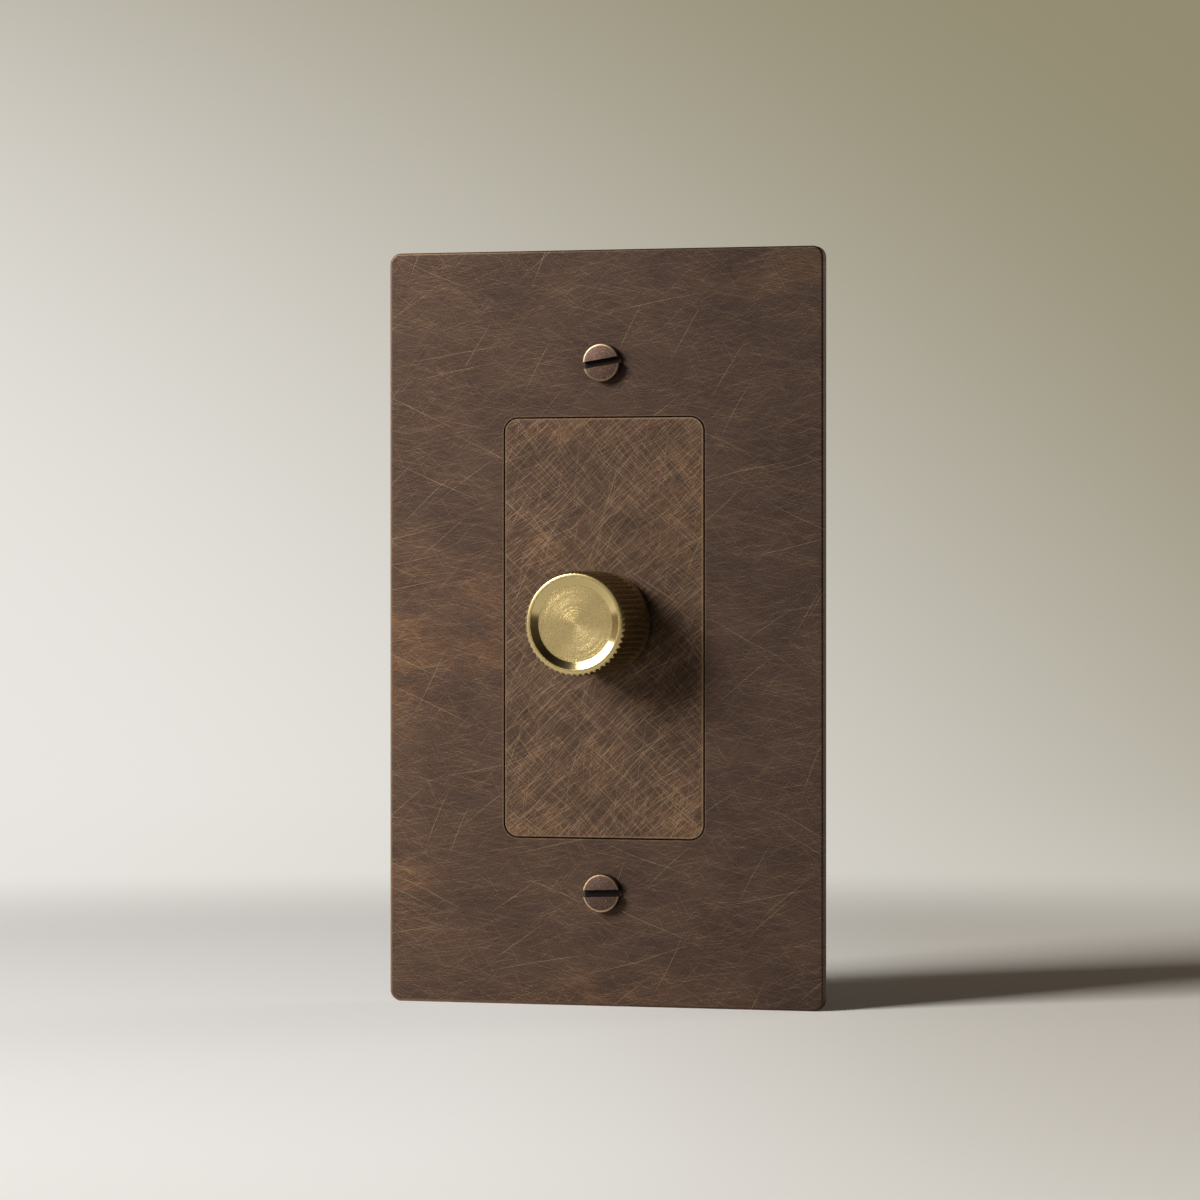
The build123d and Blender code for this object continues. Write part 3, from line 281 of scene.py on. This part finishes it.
def scratched_bronze(f, flat, grain, strength, hairlines, scores, blotches, warmth, worn):
    """Smoked bronze under a brushed grain, a rag's hairlines and single deeper scratches.

    grain is as brushed() takes it, and strength is how much it shows. hairlines and scores are as
    strokes() takes them, warmth is where copper shows through, and worn is where handling has
    rubbed the smoked finish off, on the plate's left edge also a painted highlight. The colour is
    darkened towards the upper right as painted shade.
    """
    wander = f.node("ShaderNodeTexNoise", {}, {"Vector": flat, "Scale": 0.03, "Detail": 1.0}, 1)
    sway = wander - (0.5, 0.5, 0.5)
    drift = flat + sway * 5
    weave = 0
    for seed, layer in enumerate(grain, 1):
        weave = brushed(f, drift, *layer, seed) + weave
    weave = weave.step(len(grain) * 0.4, len(grain) * 0.62)
    fine = 0
    for seed, layer in enumerate(hairlines, 1):
        fine = strokes(f, drift, *layer, seed) + fine
    fine = fine * (weave * 0.5 + 0.5) * (blotches * 0.8 + 0.6)
    drift = flat + sway * 6
    deep = 0
    for seed, layer in enumerate(scores, 21):
        deep = strokes(f, drift, *layer, seed) + deep
    speck = f.noise(flat, 5.0, 2.0, 0.75)
    # Painted shade: the bronze is darkened towards the upper right
    painted_shade_ramp = flat.part("Y") * 0.0015 + flat.part("X") * 0.0034 + 0.38
    colour = f.mix(blotches.step(0.25, 0.75), SLATE, SMOKE)
    colour = f.mix((warmth * 0.5).smallest(0.5), colour, OCHRE)
    colour = f.mix(strength * 2, colour, BLACK)
    colour = f.mix(weave * (warmth * 0.2 + strength), colour, RUBBED)
    colour = f.mix((fine * (warmth * 0.3 + strength * 3.75)).smallest(0.8), colour, RUBBED)
    colour = f.mix((deep * (speck * 0.6 + 0.1)).smallest(0.6), colour, NICKED)
    colour = f.mix((worn * (speck * 0.8 + 0.4)).smallest(0.9), colour, RUBBED)
    colour = f.mix(speck.step(0.52, 0.78) * 0.3, colour, RUBBED)
    colour = f.mix(speck.step(0.5, 0.28) * 0.5, colour, PITTED)
    relief = f.bump(deep * 0.4 + speck * 0.3 + weave * 0.2, 6e-6)
    # Painted shade, darker towards the upper right
    colour = f.mix(painted_shade_ramp.largest(0.0), colour, BLACK)
    shine = 0.57 - weave * 0.06 + (blotches - 0.5) * 0.08
    return f.coat(base_color=colour, metallic=0.85, roughness=shine, normal=relief)


def plate_bronze():
    """The plate: mostly flat hairlines, a left edge yellow from wear and a painted highlight."""
    f = Finish("smoked_bronze")
    flat = front_of(f)
    grain = [(-4, 2.6, 0.1), (9, 2.4, 0.1), (-20, 2.2, 0.11), (32, 2.0, 0.11)]
    hairlines = [
        (-12, 15, 0.075, 9), (7, 13, 0.075, 9), (22, 11, 0.075, 7), (-34, 9, 0.075, 6),
        (48, 8, 0.075, 5), (-62, 8, 0.075, 3),
    ]
    scores = [
        (12, 24, 0.085, 0.22), (-25, 22, 0.085, 0.22), (64, 14, 0.085, 0.25), (38, 14, 0.085, 0.3),
    ]
    cloud = f.noise(flat * (0.6, 1.0, 1.0), 0.13, 4.0, 0.6, 0.4)
    ochre = f.noise(flat * (0.4, 1.0, 1.0) + (3.0, 7.0, 0.0), 0.2, 5.0, 0.7, 0.3).step(0.36, 0.7)
    warm = warm_patch(flat, -35.6, -3, 15, 24) + warm_patch(flat, -19, 0, 9, 14)
    warm = warm + warm_patch(flat, -35.6, -42, 12, 16) * 0.7 + warm_patch(flat, 2, -58, 26, 7) * 0.6
    warm = (warm + warm_patch(flat, 30, 56, 22, 6) * 0.5 + 0.12) * ochre
    edge = rounded_edge(flat, plate_high.x / MM, plate_high.z / MM, 1.8)
    opening = rounded_edge(flat, insert_high.x / MM + 0.2, insert_high.z / MM + 0.2, 2.4)
    left = flat.part("X").step(10, -35)
    # Edges rubbed lighter, most on the left: wear, and on the left also a painted highlight
    worn = edge.step(-0.5, -0.1) * (left * 0.75 + 0.1) + opening.step(0.3, 0.02) * 0.25
    return scratched_bronze(f, flat, grain, 0.1, hairlines, scores, cloud, warm, worn)


def insert_bronze():
    """The insert: denser crossed scratches, with more copper towards its corners."""
    f = Finish("smoked_bronze_insert")
    flat = front_of(f)
    grain = [(43, 2.4, 0.09), (-44, 2.2, 0.09), (58, 2.2, 0.09), (20, 2.0, 0.09)]
    hairlines = [
        (47, 12, 0.08, 18), (37, 11, 0.08, 18), (-41, 10, 0.08, 16), (-54, 8, 0.08, 10),
        (22, 9, 0.08, 10), (81, 8, 0.08, 6),
    ]
    scores = [
        (42, 20, 0.1, 0.8), (-38, 18, 0.1, 0.8), (30, 14, 0.1, 0.8), (66, 12, 0.1, 0.6),
    ]
    cloud = f.noise(flat + (11.0, 5.0, 0.0), 0.16, 4.0, 0.6, 0.4)
    ochre = f.noise(flat + (23.0, 17.0, 0.0), 0.26, 5.0, 0.7, 0.3).step(0.36, 0.7)
    warm = warm_patch(flat, 15, 20, 15, 22) + warm_patch(flat, 15, -31, 14, 12)
    warm = warm + warm_patch(flat, -14, -33, 14, 9) + warm_patch(flat, -2, -22, 13, 7) * 0.6
    warm = warm + warm_patch(flat, -9, 12, 11, 9) * 0.6 + warm_patch(flat, -4, 31, 13, 5) * 0.6
    warm = (warm + 0.2) * ochre
    edge = rounded_edge(flat, insert_high.x / MM, insert_high.z / MM, 2.2)
    right = flat.part("X").step(-12, 16)
    worn = edge.step(-0.45, -0.1) * (right * 0.4 + 0.3)
    return scratched_bronze(f, flat, grain, 0.19, hairlines, scores, cloud, warm, worn)


def screw_bronze():
    """Plate screws in the same bronze: worn rims, a painted highlight, painted shade in the slots."""
    f = Finish("smoked_bronze_screws")
    here = f.place()
    flat = f.vector(here.part("X"), abs(here.part("Z")) - screw_height / MM, 0.0)
    speck = f.noise(here, 4.0, 4.0, 0.7)
    away = flat.length()
    rim = away.step(screw_radius / MM - 0.4, screw_radius / MM - 0.1)
    front = screws_low.y / MM
    top = here.part("Y").step(front + 0.4, front + 0.1)
    # The rims are worn all round and lighter to the upper left, as a painted highlight
    rim_wear_and_highlight = (flat.part("Y") - flat.part("X")).step(-1.0, 3.0) * 0.6 + 0.26
    below_rim = here.part("Y").step(front + 0.12, front + 0.4)
    above_neck = here.part("Y").step(front + 1.65, front + 1.5)
    # Painted shade: the slot's walls and floor are darkened
    slot_shade = below_rim * above_neck * away.step(screw_radius / MM, screw_radius / MM - 0.15)
    colour = f.mix(speck.step(0.3, 0.7), SLATE, SMOKE)
    colour = f.mix(speck.step(0.55, 0.75) * 0.4, colour, RUBBED)
    colour = f.mix(rim * top * rim_wear_and_highlight, colour, NICKED)
    # Painted shade in the slots
    colour = f.mix(slot_shade * 0.93, colour, paint(16, 12, 10))
    return f.coat(base_color=colour, metallic=0.9, roughness=0.42, normal=f.bump(speck, 1e-5))


def turned_brass():
    """Brass as it comes off the lathe: fine rings on the face, and a polished step round it."""
    f = Finish("turned_brass")
    here = f.place()
    x, z = here.part("X"), here.part("Z") - axis_height / MM
    flat = f.vector(x, z, 0.0)
    radius = flat.length()
    rings = f.noise(f.vector(radius * 14, 0.0, 0.0), detail=3.0, rough=0.75)
    grain = f.noise(here, 6.0, 4.0, 0.8)
    front = here.part("Y").step(knob_low.y / MM + 0.75, knob_low.y / MM + 0.55)
    face = radius.step(face_radius / MM + 0.03, face_radius / MM - 0.03)
    step = front * (1 - face) * radius.step(rim_inner / MM + 0.03, rim_inner / MM - 0.03)
    colour = f.mix(rings.step(0.25, 0.75), paint(177, 157, 108), paint(204, 183, 131))
    relief = f.bump(rings * face + grain * 0.05 * (1 - step), 2e-5)
    roughness = 0.27 + (grain - 0.5) * 0.12 - step * 0.14
    return f.coat(base_color=colour, metallic=1.0, roughness=roughness, normal=relief)


def plated(name, colour, roughness, tint=None):
    """A plated or polished metal: fine rolling lines and a slight change of tint."""
    f = Finish(name)
    here = f.place()
    cloud = f.noise(here, 0.25, 3.0, 0.6)
    drawn = f.noise(here * (0.4, 3.0, 0.4), 2.0, 3.0, 0.6)
    shade = f.mix(cloud.step(0.3, 0.7), colour, tint or [c * 0.82 for c in colour])
    shade = f.mix(drawn * 0.2, shade, [c * 0.6 for c in colour])
    shine = roughness + drawn * 0.12
    return f.coat(base_color=shade, metallic=1.0, roughness=shine, normal=f.bump(drawn, 6e-6))


def strap_steel():
    """The strap's zinc, with a black band of painted shade behind the gap round the insert."""
    f = Finish("zinc_plated_steel_strap")
    flat = front_of(f)
    drawn = f.noise(flat * (0.4, 3.0, 1.0), 2.0, 3.0, 0.6)
    zinc = f.mix(drawn, paint(196, 200, 203), paint(172, 172, 164))
    off = abs(rounded_edge(flat, insert_high.x / MM + 0.1, insert_high.z / MM + 0.1, 2.3))
    # Painted shade: a black band behind the gap round the insert
    painted = off.step(1.7, 1.4)
    colour = f.mix(painted, zinc, paint(14, 12, 11))
    shine = drawn * 0.12 + 0.3 + painted * 0.4
    return f.coat(base_color=colour, metallic=1 - painted, roughness=shine)


def moulded(name, colour, roughness):
    """A moulded plastic with the fine grain of its tool."""
    f = Finish(name)
    here = f.place()
    pits = f.noise(here, 9.0, 2.0, 0.6)
    cloud = f.noise(here, 0.15, 2.0, 0.5)
    shade = f.mix(cloud.step(0.3, 0.7), colour, [c * 1.25 + 0.002 for c in colour])
    shine = roughness + (pits - 0.5) * 0.1
    return f.coat(base_color=shade, roughness=shine, normal=f.bump(pits, 1.2e-5))


def skin(name, rings, material, close_end=True, smooth_below=35):
    """A surface through rings of points, each ring with as many points as the next.

    The first ring is closed by a face, and so is the last one, unless close_end is False. Edges
    that turn by less than smooth_below degrees are shaded smooth.
    """
    count = len(rings[0])
    points = [p for ring in rings for p in ring]
    faces = []
    for level in range(len(rings) - 1):
        for i in range(count):
            j = (i + 1) % count
            below = level * count
            above = below + count
            faces.append((below + i, below + j, above + j, above + i))
    faces.append(tuple(reversed(range(count))))
    if close_end:
        last = (len(rings) - 1) * count
        faces.append(tuple(range(last, last + count)))
    mesh = bpy.data.meshes.new(name)
    mesh.from_pydata(points, [], faces)
    mesh.validate()
    mesh.polygons.foreach_set("use_smooth", [True] * len(mesh.polygons))
    mesh.set_sharp_from_angle(angle=math.radians(smooth_below))
    mesh.materials.append(material)
    piece = bpy.data.objects.new(name, mesh)
    bpy.context.scene.collection.objects.link(piece)
    return piece


def joined(name, pieces):
    """Several pieces as one object."""
    bpy.ops.object.select_all(action="DESELECT")
    for piece in pieces:
        piece.select_set(True)
    bpy.context.view_layer.objects.active = pieces[0]
    bpy.ops.object.join()
    pieces[0].name = name
    return pieces[0]


def circle(radius, y, x=0.0, z=0.0, count=96):
    """A ring of points about an axis along Y. A function for radius gives it by the angle."""
    ring = []
    for i in range(count):
        angle = 2 * math.pi * i / count
        r = radius(angle) if callable(radius) else radius
        ring.append((x + r * math.cos(angle), y, z + r * math.sin(angle)))
    return ring


def rounded(radius, start, end, edge):
    """(radius, y) pairs of a quarter round of size edge, from start's face to the side."""
    way = math.copysign(1, end - start)
    steps = 4
    pairs = []
    for i in range(steps + 1):
        t = math.pi / 2 * i / steps
        inset = edge * (1 - math.sin(t))
        pairs.append((radius - inset, start + way * edge * (1 - math.cos(t))))
    return pairs


def half_moon(radius, chord, y, x, z, turn):
    """One side of a slotted head: an arc closed by a straight chord that lies off the middle."""
    count = 48
    half = math.acos(min(1.0, chord / radius))
    ring = []
    for i in range(count + 1):
        angle = math.pi / 2 - half + 2 * half * i / count + turn
        ring.append((x + radius * math.cos(angle), y, z + radius * math.sin(angle)))
    return ring


def slotted_head(radius, front, back, slot, depth, turn, spot, material):
    """A cheese head: a disc with a half moon on each side of the slot."""
    edge = 0.25 * MM
    burr = 0.05 * MM
    x, z = spot
    floor = front + depth
    disc = [circle(radius, y, x, z) for y in (floor, back)]
    pieces = [skin("disc", disc, material)]
    for side in (0, math.pi):
        levels = [(radius, floor + burr, slot / 2), (radius, front + edge, slot / 2)]
        for r, y in reversed(rounded(radius, front, back, edge)[:-1]):
            inset = slot / 2 + max(0.0, burr - (y - front))
            levels.append((r, y, inset))
        moon = [half_moon(r, chord, y, x, z, turn + side) for r, y, chord in levels]
        pieces.append(skin("moon", moon, material))
    return pieces


def thread(radius, pitch, start, end, spot, material):
    """A screw's shank: a core with a ridge wound round it, along Y."""
    turn_steps = 28
    x, z = spot
    depth = 0.54 * pitch
    core = radius - depth
    taper = pitch * 0.6
    shank = [circle(core * 0.7, start, x, z, 48), circle(core, start + taper * 0.4, x, z, 48)]
    shank += [circle(core, end - taper, x, z, 48), circle(core * 0.6, end, x, z, 48)]
    rings = []
    steps = int((end - start - 2 * taper) / pitch * turn_steps)
    for i in range(steps + 1):
        angle = 2 * math.pi * i / turn_steps
        middle = start + taper + pitch * i / turn_steps
        fade = min(1.0, i / turn_steps, (steps - i) / turn_steps) + 0.02
        crest = core + depth * fade
        low = core - 0.05 * MM
        profile = [(low, -0.46), (crest, -0.08), (crest, 0.08), (low, 0.46)]
        out_x, out_z = math.cos(angle), math.sin(angle)
        ring = [(x + r * out_x, middle + share * pitch, z + r * out_z) for r, share in profile]
        rings.append(ring)
    return [skin("shank", shank, material), skin("ridge", rings, material)]


def make_plate_screws(material):
    """The two slotted screws of the wall plate, with real threads behind."""
    pieces = []
    slot = 1.0 * MM
    slot_depth = 1.2 * MM
    neck_radius = 1.45 * MM
    neck_end = 0.6 * MM
    thread_radius = 1.75 * MM
    thread_pitch = 0.79 * MM
    thread_start = 0.3 * MM
    front, back = screws_low.y, plate_low.y
    for spot, degrees in zip(screw_spots, (9.0, 1.5)):
        turn = math.radians(degrees)
        pieces += slotted_head(screw_radius, front, back, slot, slot_depth, turn, spot, material)
        neck = [circle(neck_radius, y, *spot, 48) for y in (back - 0.1 * MM, neck_end)]
        pieces.append(skin("neck", neck, material))
        pieces += thread(thread_radius, thread_pitch, thread_start, screws_high.y, spot, material)
    screws = joined("plate_screws_turned", pieces)
    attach(screws, "root")
    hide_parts("plate_screws")


def knurled(angle):
    """The radius of the knurled side at an angle about the knob's axis."""
    pitch = 2 * math.pi / knurl_count
    across = (angle % pitch) / pitch
    half = abs(across - 0.5) * 2
    flat = knurl_land / (pitch * knob_radius)
    rise = max(0.0, min(1.0, half / (1 - flat)))
    return knob_radius - knurl_depth * (1 - rise) ** 1.15


def make_gap_shade_sheet(material):
    """Painted shade: black sheets behind the gap's ends over and under the insert, by the strap."""
    front, back = insert_high.y + 0.02 * MM, insert_high.y + 0.15 * MM
    strap_side = 10.5 * MM
    strips = []
    for side in (-1, 1):
        for end in (-1, 1):
            near, far = side * strap_side, side * (insert_high.x + 1.2 * MM)
            inner, outer = end * (insert_high.z - 2.6 * MM), end * (insert_high.z + 1.1 * MM)
            corners = [(near, inner), (far, inner), (far, outer), (near, outer)]
            if side == end:
                corners.reverse()
            rings = [[(x, y, z) for x, z in corners] for y in (back, front)]
            strips.append(skin("strip", rings, material))
    shade_sheet = joined("gap_shade_sheet", strips)
    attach(shade_sheet, "root")


def make_return_spring(material):
    """The return spring, as a copy of the model's spring with its own finish."""
    spring = bpy.data.objects.new("return_spring_wound", nodes["return_spring"].data.copy())
    spring.data.transform(nodes["return_spring"].matrix_world)
    spring.data.materials.clear()
    spring.data.materials.append(material)
    bpy.context.scene.collection.objects.link(spring)
    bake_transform(spring)
    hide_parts("return_spring")


def make_knob(material):
    """The turned knob: dished face, polished step, rim, knurls, plain band, pocket and bore."""
    steps = knurl_count * points_per_knurl
    front = knob_low.y
    rear = knob_high.y
    break_edge = 0.05 * MM
    rear_round = 0.3 * MM
    mouth = 0.1 * MM
    pocket_radius = knob_radius - 1.9 * MM
    pocket_floor = bushing_low.y - 1.6 * MM
    bore_radius = (shaft_high.x - shaft_low.x) / 2 + 0.03 * MM
    bore_end = shaft_low.y - 0.2 * MM
    floor = front + face_depth
    profile = [(face_radius * share, floor) for share in (0.02, 0.25, 0.5, 0.75, 0.96)]
    profile.append((face_radius - break_edge, floor))
    profile.append((face_radius + break_edge, floor - 0.3 * break_edge))
    profile += [(rim_inner - break_edge, front + 0.3 * break_edge), (rim_inner + break_edge, front)]
    profile += [(rim_outer - 1.5 * break_edge, front), (rim_outer, front + 0.5 * break_edge)]

    def ring(radius, y):
        return circle(radius, y, 0.0, axis_height, steps)

    def capped(limit):
        return lambda angle: min(limit, knurled(angle))

    def filled(share):
        return lambda angle: knurled(angle) + (knob_radius - knurled(angle)) * share

    rings = [ring(r, y) for r, y in profile]
    for share in (0.25, 0.5, 0.75, 1.0, 1.3):
        depth = knob_bevel * min(share, 1.0) + 0.02 * MM * share
        rings.append(ring(capped(rim_outer + knob_bevel * share), front + depth))
    band_start = rear - knob_band
    run_out = 1.3 * MM
    for y in (front + 1.0 * MM, (front + rear) / 2, band_start - run_out):
        rings.append(ring(knurled, y))
    for share in (0.15, 0.5, 0.85, 1.0):
        rings.append(ring(filled(share), band_start - run_out * (1 - share)))
    back = list(reversed(rounded(knob_radius, rear, front, rear_round)))
    back += [(pocket_radius + mouth, rear), (pocket_radius, rear - mouth)]
    back += [(pocket_radius, pocket_floor), (bore_radius, pocket_floor), (bore_radius, bore_end)]
    rings += [ring(r, y) for r, y in back]
    knob = skin("knob_turned", rings, material, smooth_below=28)
    hole = skin("hole", set_screw_tunnel(), material)
    cut = knob.modifiers.new("set_screw_hole", "BOOLEAN")
    cut.object = hole
    cut.operation = "DIFFERENCE"
    cut.solver = "EXACT"
    bpy.context.view_layer.objects.active = knob
    bpy.ops.object.modifier_apply(modifier="set_screw_hole")
    bpy.data.objects.remove(hole)
    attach(knob, "knob")
    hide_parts("knob")


def set_screw_tunnel():
    """The round hole for the set screw, from below the knob up into its bore."""
    count = 40
    radius = (set_screw_high.x - set_screw_low.x) / 2
    middle = (set_screw_low.y + set_screw_high.y) / 2
    levels = []
    for z in (axis_height - knob_radius * 1.2, axis_height - 1.0 * MM):
        angles = [2 * math.pi * i / count for i in range(count)]
        levels.append([(radius * math.cos(a), middle + radius * math.sin(a), z) for a in angles])
    return levels


def stage_finish():
    """A pale matt sheet near the object, which fades into a backdrop behind it.

    The backdrop shows painted light to the camera, and at the back also in the metal: it falls off
    from the lower left to the upper right. The sheet is painted darker to the right as painted shade.
    """
    f = Finish("pale_stage")
    here = f.node("ShaderNodeTexCoord", {}, {}, "Object")
    x, y, z = here.part("X"), here.part("Y"), here.part("Z")
    right_x, right_y = 0.956, 0.292
    aside = x * right_x + y * right_y
    # Painted light: the backdrop falls off from the lower left to the upper right
    level = (0.57 - aside * 0.72) * (1.05 - z * 1.4)
    share = level.step(0.27, 0.81)
    backdrop = f.mix(share, paint(147, 140, 114), paint(233, 230, 225))
    painted_falloff_glow = f.node("ShaderNodeEmission", {}, {"Color": backdrop, "Strength": 1.0})
    path = f.tree.nodes.new("ShaderNodeLightPath")
    to_camera = Tone(f, path.outputs["Is Camera Ray"])
    to_metal = Tone(f, path.outputs["Is Glossy Ray"]) * y.step(0.1, 0.4)
    away = f.vector(x, y, 0.0).length()
    behind = away.step(0.17, 0.38)
    # Painted shade: the floor sheet is darker towards the right
    sheet = f.mix(aside.step(0.075, -0.03), (0.78, 0.755, 0.69), (0.95, 0.95, 0.93))
    sheet = f.mix(away.step(0.38, 0.6), sheet, paint(96, 90, 80))
    f.coat(base_color=sheet, roughness=0.9, specular_ior_level=0.0)
    seen = (to_camera + to_metal).smallest(1.0) * behind
    inputs = {0: seen, 1: Tone(f, f.shader.outputs[0]), 2: painted_falloff_glow}
    both = f.node("ShaderNodeMixShader", {}, inputs)
    f.put(f.tree.nodes["Material Output"].inputs["Surface"], both)
    return f.material


def make_stage():
    """A seamless sheet: a round floor that curves up into a wall all round."""
    floor = plate_low.z
    flat_radius = 0.72
    cove = 0.9
    cove_steps = 24
    wall_height = 1.6
    sides = 128
    profile = [(0.01, floor), (0.2, floor), (flat_radius, floor)]
    for i in range(1, cove_steps + 1):
        angle = math.pi / 2 * i / cove_steps
        profile.append((flat_radius + cove * math.sin(angle), floor + cove * (1 - math.cos(angle))))
    profile.append((flat_radius + cove, floor + wall_height))
    rings = []
    for radius, height in profile:
        angles = [2 * math.pi * i / sides for i in range(sides)]
        rings.append([(radius * math.cos(a), radius * math.sin(a), height) for a in angles])
    stage = skin("stage", rings, stage_finish(), close_end=False, smooth_below=60)


def towards(azimuth, elevation):
    """The direction out from the object, where azimuth 0 is out of the wall and 90 is right."""
    a = math.radians(azimuth)
    e = math.radians(elevation)
    return Vector((math.sin(a) * math.cos(e), -math.cos(a) * math.cos(e), math.sin(e)))


def make_camera():
    """The photograph's viewpoint: a long lens, a little to the right of the knob's axis."""
    data = bpy.data.cameras.new("camera")
    data.lens = 152.6
    data.sensor_width = 36.0
    camera = bpy.data.objects.new("camera", data)
    back = towards(17.0, 0.27)
    distance = 0.8001
    target = Vector((-0.60, -2.0, 4.39)) * MM
    camera.location = target + back * distance
    camera.rotation_mode = "QUATERNION"
    camera.rotation_quaternion = (-back).to_track_quat("-Z", "Y")
    bpy.context.scene.collection.objects.link(camera)
    bpy.context.scene.camera = camera


def make_lamp(name, azimuth, elevation, distance, width, height, power, colour):
    """A soft box that looks at the middle of the plate."""
    data = bpy.data.lights.new(name, "AREA")
    data.shape = "RECTANGLE"
    data.size = width
    data.size_y = height
    data.energy = power
    data.color = colour
    lamp = bpy.data.objects.new(name, data)
    back = towards(azimuth, elevation)
    lamp.location = back * distance
    lamp.rotation_mode = "QUATERNION"
    lamp.rotation_quaternion = (-back).to_track_quat("-Z", "Y")
    lamp.visible_camera = False
    bpy.context.scene.collection.objects.link(lamp)


def make_world():
    world = bpy.data.worlds.new("room")
    world.use_nodes = True
    background = world.node_tree.nodes["Background"]
    background.inputs["Color"].default_value = (1.0, 0.74, 0.56, 1.0)
    background.inputs["Strength"].default_value = 0.07
    bpy.context.scene.world = world


bpy.context.scene.view_settings.view_transform = "Standard"

finishes = {
    "smoked_bronze": plate_bronze(),
    "turned_brass": turned_brass(),
    "zinc_plated_steel": plated("zinc_plated_steel", paint(196, 200, 203), 0.3, paint(186, 186, 176)),
    "black_moulding": moulded("black_moulding", paint(34, 34, 36), 0.5),
    "blackened_steel": plated("blackened_steel", paint(62, 60, 60), 0.42),
    "green_screw": plated("green_screw", paint(52, 134, 78), 0.35),
    "nickel_brass": plated("nickel_brass", paint(206, 202, 190), 0.25),
    "shaft_aluminium": plated("shaft_aluminium", paint(208, 208, 210), 0.3),
    "pot_moulding": moulded("pot_moulding", paint(48, 48, 52), 0.45),
    "laminate": moulded("laminate", paint(132, 92, 58), 0.55),
    "tinned_metal": plated("tinned_metal", paint(214, 214, 210), 0.3),
    "rotor_moulding": moulded("rotor_moulding", paint(226, 222, 206), 0.4),
    "spring_bronze": plated("spring_bronze", paint(216, 166, 112), 0.28),
    "terminal_brass": plated("terminal_brass", paint(222, 196, 128), 0.27),
    "spring_steel": plated("spring_steel", paint(168, 168, 170), 0.25),
    "board_laminate": moulded("board_laminate", paint(38, 98, 58), 0.35),
    "heat_sink_aluminium": plated("heat_sink_aluminium", paint(212, 212, 214), 0.35),
    "pad_rubber": moulded("pad_rubber", paint(150, 158, 166), 0.7),
    "epoxy_black": moulded("epoxy_black", paint(30, 30, 31), 0.5),
    "ferrite_coating": moulded("ferrite_coating", paint(66, 110, 78), 0.4),
    "enamelled_wire": plated("enamelled_wire", paint(188, 96, 46), 0.25),
    "capacitor_yellow": moulded("capacitor_yellow", paint(208, 172, 52), 0.3),
    "capacitor_sleeve": moulded("capacitor_sleeve", paint(36, 42, 62), 0.3),
    "fuse_glass": moulded("fuse_glass", paint(226, 234, 230), 0.1),
    "resistor_coating": moulded("resistor_coating", paint(206, 182, 142), 0.5),
    "diode_glass": moulded("diode_glass", paint(70, 98, 148), 0.2),
}
slot_of = {row["node"]: row["material_slot"] for row in frame["record"]["subparts"]}
for name, node in nodes.items():
    for place in node.material_slots:
        place.material = finishes[slot_of[name]]
nodes["insert_plate"].material_slots[0].material = insert_bronze()
nodes["mounting_strap"].material_slots[0].material = strap_steel()

make_plate_screws(screw_bronze())
# Black sheets of painted shade behind the ends of the gap
make_gap_shade_sheet(finishes["black_moulding"])
make_return_spring(finishes["spring_steel"])
make_knob(finishes["turned_brass"])

make_stage()
make_camera()
make_world()
make_lamp("window", -38, 25, 1.3, 0.56, 0.56, 24.0, (1.0, 0.985, 0.97))
make_lamp("fill", 138, 9, 1.2, 0.5, 0.3, 2.4, (1.0, 0.9, 0.8))
